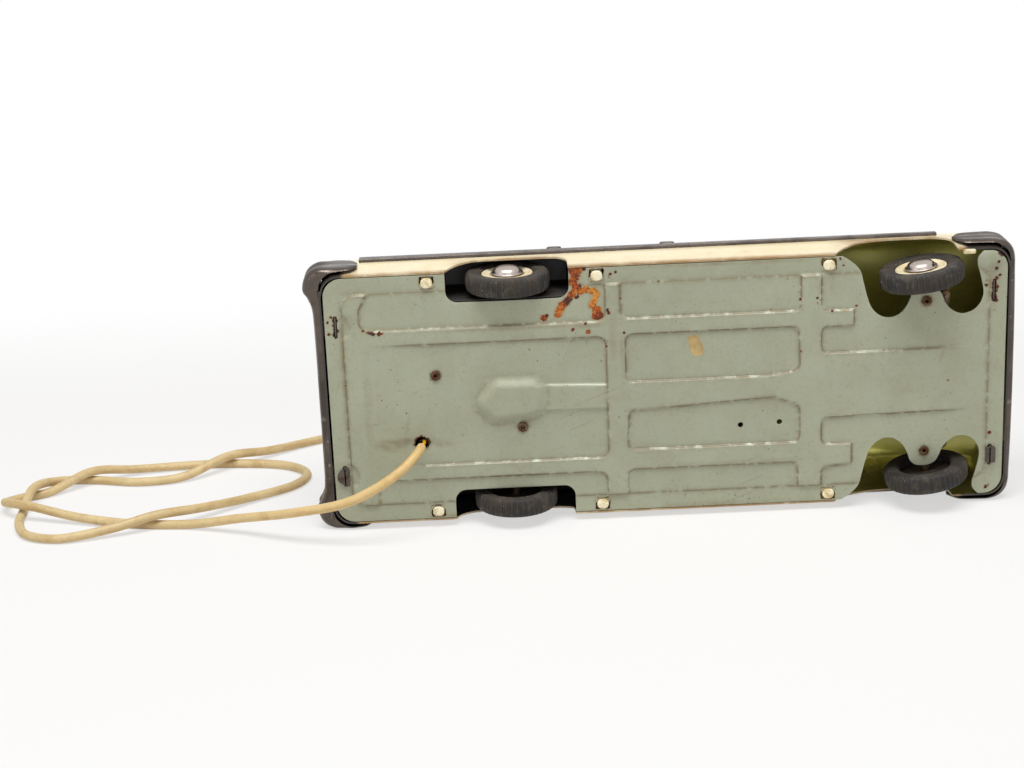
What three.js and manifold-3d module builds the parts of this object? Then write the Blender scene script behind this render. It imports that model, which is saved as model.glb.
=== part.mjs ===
// Tin toy saloon with a cable handset, lying on its left flank.
// Millimetres. +X is the nose, +Y the roof side, +Z the car's right side, which is up here.
import * as THREE from 'three';
import { mergeVertices } from 'three/addons/utils/BufferGeometryUtils.js';
import Module from 'manifold-3d';

const wasm = await Module();
wasm.setup();

// Shared sizes
const sheet = 0.8;
const gap = 0.3;
const overrun = 5;
const wheelbase = 178;
const frontOverhang = 34.3;
const rearReach = 78.5;
const frontReach = wheelbase + frontOverhang;
const baseHalf = 54.8;
const skirtHalf = baseHalf + gap + sheet;
const wheelSink = 2.6;
const wheelOuter = skirtHalf - wheelSink;
const kingpinInset = 19.6;
const axleRise = 8.2;
const frontAxleRise = 2.8;
const stripMiddle = 16.6;

// Base plate, pressed in three levels: rim, raised field, sunk panels
const base = {
  cornerRadius: 8,
  rimWidth: 7.3,
  fieldRise: 1.2,
  fieldRadius: 7,
  panelDepth: 1,
  panelRadius: 4,
  bulgeRise: 3.2,
  bulgeFront: 12,
  bulgeRear: 15.4,
  bulgeHalf: 10.4,
  bulgeMiddle: 1.6,
  neckLow: -6.6,
  neckHigh: 3.6,
  neckFront: 45,
};

// Panels as shares of the wheelbase from rear to front, and of the half width from low to high
const panelShares = [
  [0.266, 0.699, 0.584, 0.867],
  [0.275, 0.694, 0.066, 0.46],
  [0.275, 0.694, -0.496, -0.117],
  [0.275, 0.691, -0.867, -0.657],
  [0.747, 0.87, 0.577, 0.867],
  [0.747, 1.152, 0.23, 0.449],
  [0.826, 1.152, 0.23, 0.867],
  [0.747, 0.87, -0.511, -0.285],
  [0.747, 0.87, -0.867, -0.657],
  [0.82, 1.152, -0.867, -0.285],
  [1.059, 1.152, -0.6, 0.6],
  [-0.36, 0.23, 0.566, 0.867],
  [-0.309, 0.23, -0.547, 0.449],
  [-0.337, 0.225, -0.867, -0.664],
];

const rearWell = {
  front: 25.8,
  rear: 26.6,
  inner: 43.2,
  radius: 5,
  height: 28.4,
};

// Front wheel cut-out: two round lobes and a tongue that carries the kingpin
const steerCut = {
  lobeTip: 27.4,
  rearLobe: 16.6,
  frontLobe: 16.1,
  lobeRadius: 7.4,
  tongueTip: 40.6,
  tongueRadius: 6,
  rearFlare: 37.5,
  rearShoulder: 28,
  flareRise: 50,
  frontNeck: 21.4,
  frontNeckRise: 50,
  earRadius: 3.6,
  frontMouth: 26,
  lobeOpening: 0.3,
};

const kingpin = {
  offset: wheelOuter - kingpinInset,
  radius: 1.4,
  headRadius: 2.1,
  headThickness: 0.7,
  hollowRadius: 0.8,
  hollowDepth: 3,
  topRadius: 2.6,
};

const motorRivets = [{ x: -32.6, z: 10.4 }, { x: 4, z: -14.5 }];
const plainHoleRadius = 1.2;
const plainHoleShares = [[0.551, -0.332], [0.646, -0.321]];
const cordHole = { x: -40, z: -20, radius: 2.9 };

// Cream tabs that fold over the base plate
const bodyTab = {
  placeShares: [-0.193, 0.211, 0.765],
  leg: 51.4,
  width: 4.8,
  headOut: 54.6,
  headIn: 49.4,
  armRise: 3,
};

const bodyTabPlaces = bodyTab.placeShares.map((share) => share * wheelbase);

// Body section, heights from the base plate; widths go in and out from the skirt
const flankSwell = 1.5;
const beltDraw = 2.3;
const deckDraw = 6.9;
const body = {
  skirt: skirtHalf,
  skirtRise: 8,
  waist: skirtHalf + flankSwell,
  waistLow: 12.2,
  waistHigh: 21,
  belt: skirtHalf - beltDraw,
  shoulderDrop: 6,
  shoulderEdge: 1.6,
  deckHalf: skirtHalf - deckDraw,
  crown: 2.4,
  crownShare: 0.75,
  crownHalf: 26,
  cornerRadius: 8,
  endGap: 0.4,
};

// Deck along the car as shares of the wheelbase and of the deck's height
const deckHeight = 46.6;
const deckShares = [
  [-0.449, 0.751], [-0.427, 0.826], [-0.393, 0.88], [-0.27, 0.931], [-0.157, 0.957],
  [0.337, 0.987], [0.629, 1], [0.843, 0.97], [1.039, 0.91], [1.14, 0.845], [1.174, 0.785],
  [1.202, 0.708],
];
const deckLine = deckShares.map(([x, y]) => [x * wheelbase, y * deckHeight]);

// Cabin outline at each height, as shares of the roof's height, of the wheelbase at the rear and
// the front, of the belt's half width and of the corner radius
const roofHeight = 79;
const cabinCorner = 14;
const cabinShares = [
  [0.481, -0.202, 0.68, 0.944, 1],
  [0.582, -0.171, 0.638, 0.937, 1],
  [0.734, -0.081, 0.559, 0.888, 0.93],
  [0.88, 0.006, 0.492, 0.817, 0.857],
  [0.954, 0.056, 0.447, 0.75, 0.857],
  [0.99, 0.101, 0.402, 0.653, 0.786],
  [1, 0.157, 0.348, 0.504, 0.714],
];
const cabin = cabinShares.map(([y, rear, front, half, corner]) => ({
  y: y * roofHeight,
  rear: rear * wheelbase,
  front: front * wheelbase,
  half: half * body.belt,
  radius: corner * cabinCorner,
}));
const cabinWallShare = 0.6;
const cabinCornerSteps = 3;

// Window outlines as shares of the wheelbase and of the roof's height
const sideWindowShares = [
  [[0.368, 0.633], [0.567, 0.633], [0.461, 0.88], [0.368, 0.88]],
  [[-0.045, 0.633], [0.337, 0.633], [0.337, 0.88], [0.073, 0.88]],
];
const screenOpening = { low: 50.5, high: 70.5, lowHalf: 42, highHalf: 35.5, depth: 46 };
const windowInsert = { wall: 0.9, low: 47.6 };

const rearArch = { rear: -26.7, front: 25.6, height: 8, radius: 7 };
const archBehind = 39;
const archAhead = 13;
const frontArch = {
  rear: wheelbase - archBehind,
  front: wheelbase + archAhead,
  height: 12,
  radius: 12,
};

// Bumpers, with shares of the thickness at each step of their run from the middle
const bumper = {
  low: 1.2,
  high: 18.8,
  runShares: [0, 0.45, 0.8, 0.92],
  arcSteps: 4,
  wrapShare: 0.8,
  tipShare: 0.34,
  sectionShares: [[0, -0.85], [0.55, -1], [0.9, -0.8], [1, -0.5], [0.86, 0], [1, 0.5], [0.9, 0.8],
    [0.55, 1], [0, 0.85]],
  rear: {
    thickness: 7.4,
    thicknessShares: [0.46, 0.46, 0.5, 0.73, 1, 0.946, 0.676, 0.284],
    wrap: 5.4,
    tip: 2.6,
  },
  front: {
    thickness: 3.4,
    thicknessShares: [1, 0.97, 0.88, 0.82, 0.79, 0.79, 0.74, 0.5],
    wrap: 15,
    tip: 4.4,
  },
};
const rearTabInset = 4.5;
const frontTabInset = 5.5;
const bumperTab = {
  rearX: rearTabInset - rearReach,
  rearZ: 33.7,
  frontX: frontReach - frontTabInset,
  frontZ: 37,
  width: 9,
  armRise: 3,
  headLength: 5.4,
};

const trimThickness = 1.3;
const handleThickness = 1.2;
const trimRearInset = 15.3;
const trimFrontInset = 26.7;
const trim = {
  half: 4,
  chamfer: 0.7,
  inner: body.waist + gap,
  rear: trimRearInset - rearReach,
  front: frontReach - trimFrontInset,
};
const restHalf = trim.inner + trimThickness;
const handle = {
  rearDoor: 17.6,
  frontDoor: 66.5,
  length: 6.4,
  low: 21.4,
  high: 24.6,
  outer: trim.inner + handleThickness,
};

const headlamp = { z: 39.5, y: 27, radius: 7.2, rim: 1, depth: 2.6 };
const tailLamp = { z: 42, y: 29, half: 4.2, height: 6, depth: 2.2, radius: 1.6 };
const grille = { half: 29, low: 21.5, high: 33.5, depth: 1.3, bars: 4, barGap: 1.5, edge: 1.6, radius: 2 };

const seat = {
  floor: 29.6,
  rear: -25,
  front: 108,
  benchHeight: 9,
  benchDepth: 26,
  backHeight: 25,
  backDepth: 6,
  benchHalf: 40,
  starts: [-6, 50],
  dashDepth: 5,
  dashHeight: 13,
};
const steering = {
  x: 93,
  y: 49,
  z: -21,
  radius: 8.5,
  rim: 1.2,
  spoke: 1.6,
  column: 1.1,
  columnLength: 12,
  tilt: 20,
};

// Wheels
const tyre = {
  radius: 18.1,
  half: 4.1,
  seat: 11.3,
  bulge: 13.2,
  shoulder: 16.4,
  tread: 17.6,
  treadHalf: 3.3,
  crownHalf: 2.2,
  seatHalf: 3.5,
  steps: 22,
};
const disc = { radius: 11, rimWidth: 1.5, half: 3.3, web: 2.6, back: 1, steps: 16 };
const cap = {
  flange: 6.9,
  flangeThickness: 0.6,
  dome: 6,
  shoulder: 5.2,
  mid: 3,
  rise: 1.7,
  midRise: 2.9,
  height: 3.3,
};
const wheelMiddle = wheelOuter - tyre.half;
const frontWheelOut = steerCut.tongueTip - kingpin.offset + gap + tyre.half;
const axle = { radius: 1.5, running: 0.3, endInset: 1.5 };

// Steering, shown turned as it lies
const steer = {
  angle: 8.5,
  arm: 9,
  armWidth: 4.6,
  armLow: 8.2,
  armThickness: 1.2,
  bossRadius: 3.2,
  bossHigh: 13,
  pinRadius: 1,
  pinHeadRadius: 2.1,
  pinHeadLow: 4,
  pinHeadHigh: 6.4,
  pinHigh: 12,
  rodThickness: 1.2,
  rodHalfWidth: 3.1,
  rodEnd: 38.4,
  slotExtra: 0.8,
  armatureHalf: 2.4,
  armatureLength: 17,
};
const bridge = { width: 9, low: 14, half: 38, leg: 21, foot: 6 };
const magnetBehind = 18;
const magnet = {
  x: wheelbase - magnetBehind,
  y: 7.4,
  radius: 5.2,
  half: 10,
  cheekRadius: 6.2,
  cheek: 1.2,
  core: 2,
  coreOut: 2,
};

// Drive: spur gear on the axle, pinion on the motor shaft
const drive = {
  module: 0.7,
  gearTeeth: 24,
  pinionTeeth: 11,
  backlash: 0.16,
  rootDepth: 0.86,
  tipHeight: 0.6,
  rootShare: 0.36,
  tipShare: 0.12,
  angle: 45,
  gearLow: -4.2,
  gearHigh: 0.6,
  pinionLow: -4.6,
  pinionHigh: 1,
  gearBore: axle.radius + gap,
};
const motor = {
  radius: 9.9,
  length: 27,
  noseRadius: 3,
  nose: 1.6,
  shaftRadius: 1,
  chamfer: 1,
  steps: 24,
};
const bracket = {
  face: -6.6,
  footRise: 1.1,
  footLow: -24,
  armHigh: 15,
  armFront: -27,
  rear: -36.4,
  front: 24,
  wallRear: -14,
  height: 28,
  topRadius: 4,
};

// Free cord
const cord = {
  radius: 2.1,
  sides: 8,
  steps: 78,
  coreRadius: 0.75,
  coreSides: 6,
  coreSteps: 14,
};
// Cord centre line in the frame of the whole part, from the base plate to the handset
const cordRoute = [
  [-104.7, -19.6, 39], [-105.5, -23.7, 38.7], [-108, -29, 37.2], [-113.9, -34, 32.9],
  [-122.7, -35.9, 27.4], [-137.7, -35.4, 20.2], [-160.7, -28.1, 14], [-186.7, -14.6, 7.4],
  [-209.7, -5.6, 2.3], [-236.7, -1.1, 2.1], [-262.7, 7.4, 3.4], [-282, 13.6, 6.6],
  [-291.1, 17.7, 7], [-297.2, 24.2, 5.5], [-297.9, 31.6, 3.2], [-293.4, 38.5, 2.1],
  [-281.4, 44.4, 2.3], [-263.7, 58.3, 6.6], [-245.7, 68.9, 3.1], [-205.7, 73.8, 2.1],
  [-172.7, 66.9, 2.1], [-162.2, 54, 2.1], [-166.2, 40.4, 2.1], [-188.7, 21.4, 3],
  [-207.7, 5.9, 5.3], [-224.7, -4, 6.7], [-244.7, -11, 3.8], [-266.7, -15.6, 2.1],
  [-281.2, -9.4, 2.1], [-287.7, 5.4, 2.1], [-288.7, 20.4, 2.2], [-287, 38.4, 6.9],
  [-279.2, 53.9, 4.2], [-263.7, 58.9, 2.1], [-240.7, 53.4, 2.1], [-220.7, 56.4, 2.7],
  [-200.7, 71, 6.8], [-182.7, 86.4, 3.4], [-159.7, 102.9, 2.1], [-134.7, 114.4, 2.4],
  [-107.7, 118.6, 5.4], [-86.7, 119.4, 9.4], [-72.6, 119.4, 10.4],
];

// The two cores from the jacket's end to the motor, as [x, height, z]
const coreRoutes = {
  yellow: [
    [-39.1, -2.4, -19.6], [-39.1, 4.6, -19.8], [-30, 13.4, -28.5], [-4, 18, -39.2], [6, 18, -39],
    [8.6, 18.4, -35.4],
  ],
  dark: [
    [-40.9, -2.4, -20.4], [-40.9, 4.6, -20.8], [-31, 10, -30], [-6, 13, -39.2], [6, 13, -39],
    [8.6, 13, -35.4],
  ],
};

// Handset
const handset = {
  x: -64,
  y: 119.4,
  length: 98,
  width: 46,
  height: 27,
  radius: 9,
  edge: 2,
  wall: 1.8,
  split: 17,
  cordRise: 10.4,
  glandLength: 12,
  glandRadius: 4,
  glandEnd: 3,
};
const slider = { length: 13, width: 9, travel: 8, height: 3.4, plate: 1.4, flange: 2, stem: 5, x: 26 };
const knob = { radius: 13, height: 6.5, stem: 3.2, stemLength: 5, x: 70, ribs: 12, ribRadius: 1 };
const cell = { radius: 7, length: 50, tip: 2.4, tipLength: 1.6, y: 8.6, start: 8.5, steps: 18 };
const contact = { thickness: 0.6, height: 11, width: 30 };
const screw = { radius: 1.5, head: 3, headThickness: 1.4, boss: 3.4, slot: 0.6, slotDepth: 0.7, x: 90 };

const bodyRear = -rearReach - body.endGap - sheet;
const bodyFront = frontReach + body.endGap + sheet;
const midLength = (bodyFront + bumper.front.thickness + bodyRear - bumper.rear.thickness) / 2;

const finishes = {
  basePaint: { color: 0xa3a894, roughness: 0.42, metalness: 0.1 },
  bodyPaint: { color: 0xf0e1b9, roughness: 0.3, metalness: 0.05 },
  plating: { color: 0x58504a, roughness: 0.3, metalness: 0.75 },
  steel: { color: 0x8d8a82, roughness: 0.35, metalness: 0.9 },
  brass: { color: 0xb08d4a, roughness: 0.35, metalness: 0.9 },
  rubber: { color: 0x2b2927, roughness: 0.75, metalness: 0 },
  discPaint: { color: 0xe8d9b4, roughness: 0.4, metalness: 0 },
  chrome: { color: 0xd0ccc4, roughness: 0.12, metalness: 1 },
  blackPaint: { color: 0x1b1a18, roughness: 0.5, metalness: 0.1 },
  seatPaint: { color: 0x8a3327, roughness: 0.5, metalness: 0 },
  clear: { color: 0xdfe6e4, roughness: 0.08, metalness: 0 },
  redLens: { color: 0xa01c16, roughness: 0.2, metalness: 0 },
  clearLens: { color: 0xe9e6da, roughness: 0.15, metalness: 0 },
  cordPlastic: { color: 0xd7bc8a, roughness: 0.5, metalness: 0 },
  yellowCore: { color: 0xe8b21c, roughness: 0.5, metalness: 0 },
  darkCore: { color: 0x2d2a28, roughness: 0.5, metalness: 0 },
  handsetPlastic: { color: 0xd9cba4, roughness: 0.35, metalness: 0 },
  knobPlastic: { color: 0x4a423c, roughness: 0.4, metalness: 0 },
  cellWrap: { color: 0x3c5a78, roughness: 0.4, metalness: 0.2 },
};

const car = new THREE.Group();
car.position.set(-midLength, -stripMiddle, restHalf);
const part = new THREE.Group();
part.add(car);

// Closed solids

function solid(geometry) {
  const plain = geometry.index ? geometry.toNonIndexed() : geometry.clone();
  plain.deleteAttribute('normal');
  plain.deleteAttribute('uv');
  const merged = mergeVertices(plain, 1e-4);
  const index = merged.index.array;
  const corner = merged.attributes.position;
  const kept = [];
  for (let i = 0; i < index.length; i += 3) {
    const [a, b, c] = [index[i], index[i + 1], index[i + 2]];
    if (a !== b && b !== c && c !== a) kept.push(a, b, c);
  }
  const vertProperties = new Float32Array(corner.array);
  let made = new wasm.Manifold(new wasm.Mesh({
    numProp: 3,
    vertProperties,
    triVerts: new Uint32Array(kept),
  }));
  if (made.volume() < 0) {
    for (let i = 0; i < kept.length; i += 3) [kept[i + 1], kept[i + 2]] = [kept[i + 2], kept[i + 1]];
    made = new wasm.Manifold(new wasm.Mesh({
      numProp: 3,
      vertProperties,
      triVerts: new Uint32Array(kept),
    }));
  }
  return made;
}

function surface(made) {
  const mesh = made.getMesh();
  const geometry = new THREE.BufferGeometry();
  const corners = new Float32Array((mesh.vertProperties.length / mesh.numProp) * 3);
  for (let i = 0; i < corners.length / 3; i += 1) {
    for (let k = 0; k < 3; k += 1) corners[3 * i + k] = mesh.vertProperties[mesh.numProp * i + k];
  }
  geometry.setAttribute('position', new THREE.BufferAttribute(corners, 3));
  geometry.setIndex(new THREE.BufferAttribute(new Uint32Array(mesh.triVerts), 1));
  return geometry;
}

function piece(name, made, finish, parent = car) {
  const mesh = new THREE.Mesh(surface(made), new THREE.MeshStandardMaterial(finishes[finish]));
  mesh.geometry.computeVertexNormals();
  mesh.name = name;
  parent.add(mesh);
  return mesh;
}

function extruded(shape, depth, steps = 2) {
  return new THREE.ExtrudeGeometry(shape, { depth, bevelEnabled: false, curveSegments: steps });
}

// A flat outline in x and z, from height low to high
function slab(shape, low, high, steps) {
  const geometry = extruded(shape, high - low, steps);
  geometry.rotateX(Math.PI / 2);
  geometry.translate(0, high, 0);
  return solid(geometry);
}

// A flat outline in x and height, from z low to high
function sidePlate(shape, low, high, steps) {
  const geometry = extruded(shape, high - low, steps);
  geometry.translate(0, 0, low);
  return solid(geometry);
}

// A flat outline in z and height, from x low to high
function crossPlate(shape, low, high, steps) {
  const geometry = extruded(shape, high - low, steps);
  geometry.rotateY(Math.PI / 2);
  geometry.scale(1, 1, -1);
  geometry.translate(low, 0, 0);
  return solid(geometry);
}

function box(x0, x1, y0, y1, z0, z1) {
  const geometry = new THREE.BoxGeometry(x1 - x0, y1 - y0, z1 - z0);
  geometry.translate((x0 + x1) / 2, (y0 + y1) / 2, (z0 + z1) / 2);
  return solid(geometry);
}

function polygon(points) {
  return new THREE.Shape(points.map(([a, b]) => new THREE.Vector2(a, b)));
}

function roundedRect(x0, x1, y0, y1, radius) {
  const r = Math.min(radius, (x1 - x0) / 2, (y1 - y0) / 2);
  const shape = new THREE.Shape();
  shape.moveTo(x0 + r, y0);
  shape.lineTo(x1 - r, y0);
  shape.absarc(x1 - r, y0 + r, r, -Math.PI / 2, 0, false);
  shape.lineTo(x1, y1 - r);
  shape.absarc(x1 - r, y1 - r, r, 0, Math.PI / 2, false);
  shape.lineTo(x0 + r, y1);
  shape.absarc(x0 + r, y1 - r, r, Math.PI / 2, Math.PI, false);
  shape.lineTo(x0, y0 + r);
  shape.absarc(x0 + r, y0 + r, r, Math.PI, 1.5 * Math.PI, false);
  return shape;
}

// A turned solid about the z axis; profile points are [radius, z]
function turned(profile, steps) {
  const geometry = new THREE.LatheGeometry(profile.map(([r, z]) => new THREE.Vector2(r, z)), steps);
  geometry.rotateX(Math.PI / 2);
  return solid(geometry);
}

// A turned solid about the y axis; profile points are [radius, y]
function turnedUp(profile, steps) {
  return solid(new THREE.LatheGeometry(profile.map(([r, y]) => new THREE.Vector2(r, y)), steps));
}

function rod(radius, z0, z1, steps = 12) {
  return turned([[0, z0], [radius, z0], [radius, z1], [0, z1]], steps);
}

function post(radius, y0, y1, steps = 12) {
  return turnedUp([[0, y0], [radius, y0], [radius, y1], [0, y1]], steps);
}

// Skin over rings of equal count, closed by a fan at both ends
function loft(rings) {
  const count = rings[0].length;
  const corners = [];
  const faces = [];
  rings.forEach((ring) => ring.forEach((p) => corners.push(...p)));
  for (let i = 0; i < rings.length - 1; i += 1) {
    for (let k = 0; k < count; k += 1) {
      const next = (k + 1) % count;
      const [a, b] = [i * count + k, i * count + next];
      const [c, d] = [a + count, b + count];
      faces.push(a, b, d, a, d, c);
    }
  }
  [0, rings.length - 1].forEach((i) => {
    const ring = rings[i];
    const middle = [0, 1, 2].map((k) => ring.reduce((sum, p) => sum + p[k], 0) / count);
    const centre = corners.length / 3;
    corners.push(...middle);
    for (let k = 0; k < count; k += 1) {
      const [a, b] = [i * count + k, i * count + ((k + 1) % count)];
      if (i === 0) faces.push(centre, b, a);
      else faces.push(centre, a, b);
    }
  });
  const geometry = new THREE.BufferGeometry();
  geometry.setAttribute('position', new THREE.BufferAttribute(new Float32Array(corners), 3));
  geometry.setIndex(faces);
  return solid(geometry);
}

function both(make) {
  [['right', 1], ['left', -1]].forEach(([side, sign]) => make(side, sign));
}

// Base plate

function plateOutline(inset) {
  return roundedRect(-rearReach + inset, frontReach - inset, -baseHalf + inset, baseHalf - inset,
    base.cornerRadius);
}

function fieldOutline(inset) {
  const shift = base.rimWidth + inset;
  return roundedRect(-rearReach + shift, frontReach - shift, -baseHalf + shift, baseHalf - shift,
    base.fieldRadius);
}

function panelOutline([rear, front, low, high], grow) {
  return roundedRect(rear * wheelbase - grow, front * wheelbase + grow, low * baseHalf - grow,
    high * baseHalf + grow, base.panelRadius);
}

function bulgeOutline(inset) {
  return roundedRect(-base.bulgeRear + inset, base.bulgeFront - inset,
    -base.bulgeMiddle - base.bulgeHalf + inset, -base.bulgeMiddle + base.bulgeHalf - inset,
    base.bulgeHalf);
}

function plateLevels(inset, lift) {
  const top = sheet + overrun;
  let made = slab(fieldOutline(inset), lift - base.fieldRise, top);
  panelShares.forEach((place) => {
    const floor = lift - base.fieldRise + base.panelDepth;
    made = made.subtract(slab(panelOutline(place, inset), lift - overrun, floor, 1));
  });
  const seatRadius = bumperTab.width / 2 + 2 * sheet + inset;
  both((side, sign) => bumperTabs().forEach(([x, z]) => {
    made = made.subtract(slab(circle(x, sign * z, seatRadius), lift - overrun, lift, 4));
  }));
  const neck = roundedRect(0, base.neckFront, base.neckLow + inset, base.neckHigh - inset, inset);
  made = made.add(slab(neck, lift - base.fieldRise, top));
  return made.add(slab(bulgeOutline(inset), lift - base.bulgeRise, top, 3));
}

// Cut-out round a front wheel, on the side of positive z
function steerCutOutline() {
  const c = steerCut;
  const x = wheelbase;
  const outside = baseHalf + overrun;
  const lobeZ = c.lobeTip + c.lobeRadius;
  const tongueZ = c.tongueTip - c.tongueRadius;
  const shape = new THREE.Shape();
  shape.moveTo(x - c.rearFlare, outside);
  shape.lineTo(x - c.rearFlare, baseHalf);
  shape.quadraticCurveTo(x - c.rearShoulder, c.flareRise, x - c.rearLobe - c.lobeRadius, lobeZ);
  shape.absarc(x - c.rearLobe, lobeZ, c.lobeRadius, Math.PI, 2 * Math.PI - c.lobeOpening, false);
  shape.lineTo(x - c.tongueRadius, tongueZ);
  shape.absarc(x, tongueZ, c.tongueRadius, Math.PI, 0, true);
  shape.absarc(x + c.frontLobe, lobeZ, c.lobeRadius, Math.PI + c.lobeOpening, 2 * Math.PI, false);
  shape.quadraticCurveTo(x + c.frontNeck, c.frontNeckRise - c.earRadius, x + c.frontNeck,
    c.frontNeckRise);
  shape.quadraticCurveTo(x + c.frontNeck, baseHalf, x + c.frontMouth, baseHalf);
  shape.lineTo(x + c.frontMouth, outside);
  return shape;
}

function rearWellOutline() {
  return roundedRect(-rearWell.rear, rearWell.front, rearWell.inner, baseHalf + overrun + rearWell.radius,
    rearWell.radius);
}

function mirrored(made) {
  return made.mirror([0, 0, 1]);
}

function basePlate() {
  let made = slab(plateOutline(0), 0, sheet).add(plateLevels(0, 0).trimByPlane([0, -1, 0], -sheet));
  made = made.subtract(plateLevels(sheet, sheet));
  const low = -base.bulgeRise - overrun;
  [steerCutOutline(), rearWellOutline()].forEach((shape) => {
    const cut = slab(shape, low, sheet + overrun);
    made = made.subtract(cut).subtract(mirrored(cut));
  });
  const hole = (radius, x, z) => post(radius, low, sheet + overrun).translate([x, 0, z]);
  both((side, sign) => {
    made = made.subtract(hole(kingpin.radius + gap, wheelbase, sign * kingpin.offset));
    bodyTabPlaces.forEach((x) => {
      const half = bodyTab.width / 2 + gap;
      const inner = bodyTab.leg - gap;
      const outer = bodyTab.leg + sheet + gap;
      const slot = box(x - half, x + half, low, sheet + overrun, inner, outer);
      made = made.subtract(sign > 0 ? slot : mirrored(slot));
    });
    bumperTabs().forEach(([x, z]) => {
      const half = bumperTab.width / 2 + gap;
      made = made.subtract(box(x - sheet / 2 - gap, x + sheet / 2 + gap, low, sheet + overrun,
        sign * z - half, sign * z + half));
    });
  });
  motorRivets.forEach(({ x, z }) => {
    made = made.subtract(hole(kingpin.radius + gap, x, z));
  });
  plainHoleShares.forEach(([along, across]) => {
    made = made.subtract(hole(plainHoleRadius, along * wheelbase, across * baseHalf));
  });
  made = made.subtract(hole(cordHole.radius, cordHole.x, cordHole.z));
  piece('base_plate', made, 'basePaint');
}

// Body shell

function between(table, x) {
  if (x <= table[0][0]) return table[0][1];
  for (let i = 1; i < table.length; i += 1) {
    const [x0, y0] = table[i - 1];
    const [x1, y1] = table[i];
    if (x <= x1) return y0 + ((y1 - y0) * (x - x0)) / (x1 - x0);
  }
  return table[table.length - 1][1];
}

// How far the plan corner pulls the flank in at x
function cornerPull(x, inset) {
  const r = body.cornerRadius - inset;
  const reach = Math.min(x - bodyRear - inset, bodyFront - inset - x);
  if (reach >= r) return 0;
  const d = r - Math.max(reach, 0);
  return r - Math.sqrt(r * r - d * d);
}

function bodyRing(x, inset, bottom) {
  const pull = cornerPull(x, inset) + inset;
  const deck = between(deckLine, x) - inset;
  const half = [
    [bottom, body.skirt],
    [body.skirtRise, (body.skirt + body.waist) / 2],
    [body.waistLow, body.waist],
    [Math.min(body.waistHigh, deck - body.shoulderDrop - sheet), body.waist],
    [deck - body.shoulderDrop, body.belt],
    [deck - body.shoulderEdge, (body.belt + body.deckHalf) / 2 + body.shoulderEdge / 2],
    [deck, body.deckHalf],
    [deck + body.crown * body.crownShare, body.crownHalf],
    [deck + body.crown, 0],
  ];
  const right = half.map(([y, z]) => [x, y, z === 0 ? 0 : z - pull]);
  const left = half.slice(0, -1).reverse().map(([y, z]) => [x, y, pull - z]);
  return right.concat(left);
}

function bodyStations(inset) {
  const places = [];
  const r = body.cornerRadius - inset;
  for (let i = 0; i <= 3; i += 1) places.push(bodyRear + inset + r * (1 - Math.cos((i * Math.PI) / 6)));
  deckLine.forEach(([x]) => {
    if (x > bodyRear + 2 * body.cornerRadius && x < bodyFront - body.cornerRadius - inset) places.push(x);
  });
  for (let i = 3; i >= 0; i -= 1) places.push(bodyFront - inset - r * (1 - Math.cos((i * Math.PI) / 6)));
  return places;
}

function cabinRing({ y, rear, front, half, radius }, inset) {
  const ring = [];
  const r = radius - inset;
  const [x0, x1, z1] = [rear + inset, front - inset, half - inset];
  const centres = [[x1 - r, z1 - r, 0], [x0 + r, z1 - r, 1], [x0 + r, r - z1, 2], [x1 - r, r - z1, 3]];
  centres.forEach(([cx, cz, quarter]) => {
    for (let i = 0; i <= cabinCornerSteps; i += 1) {
      const angle = (quarter + i / cabinCornerSteps) * (Math.PI / 2);
      ring.push([cx + r * Math.cos(angle), y, cz + r * Math.sin(angle)]);
    }
  });
  return ring;
}

function cabinSolid(inset) {
  const rings = cabin.map((row, i) => {
    const nearTop = cabin.length - 1 - i;
    const wallDrop = nearTop === 2 ? inset * cabinWallShare : 0;
    const drop = nearTop < 2 ? inset : wallDrop;
    return cabinRing({ ...row, y: row.y - drop }, inset);
  });
  return loft(rings);
}

function archCut(arch) {
  const r = Math.min(arch.radius, arch.height);
  const shape = new THREE.Shape();
  shape.moveTo(arch.rear, -overrun);
  shape.lineTo(arch.rear, 0);
  shape.quadraticCurveTo(arch.rear + r / 2, arch.height, arch.rear + 2 * r, arch.height);
  shape.lineTo(arch.front - r, arch.height);
  shape.quadraticCurveTo(arch.front, arch.height, arch.front, arch.height / 2);
  shape.lineTo(arch.front, -overrun);
  return sidePlate(shape, -restHalf - overrun, restHalf + overrun, 5);
}

function screenCut(x0, x1) {
  const s = screenOpening;
  return crossPlate(polygon([[-s.lowHalf, s.low], [s.lowHalf, s.low], [s.highHalf, s.high],
    [-s.highHalf, s.high]]), x0, x1);
}

function cabinCuts() {
  const eaves = cabin[cabin.length - 3];
  const middle = (eaves.rear + eaves.front) / 2;
  const reach = (eaves.front - eaves.rear) / 2;
  const cuts = sideWindowShares.map((points) => {
    const outline = points.map(([x, y]) => [x * wheelbase, y * roofHeight]);
    return sidePlate(polygon(outline), -restHalf, restHalf);
  });
  cuts.push(screenCut(middle + reach, middle + reach + screenOpening.depth));
  cuts.push(screenCut(middle - reach - screenOpening.depth, middle - reach));
  return cuts;
}

function foldedTab(x) {
  const half = bodyTab.width / 2;
  const rise = bodyTab.armRise;
  const under = -gap - sheet;
  const arm = box(x - half, x + half, rise, rise + sheet, bodyTab.leg, body.skirt);
  const leg = box(x - half, x + half, under, rise + sheet, bodyTab.leg, bodyTab.leg + sheet);
  const head = slab(roundedRect(x - half, x + half, bodyTab.headIn, bodyTab.headOut, half / 2),
    under, -gap, 3);
  return arm.add(leg).add(head);
}

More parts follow.
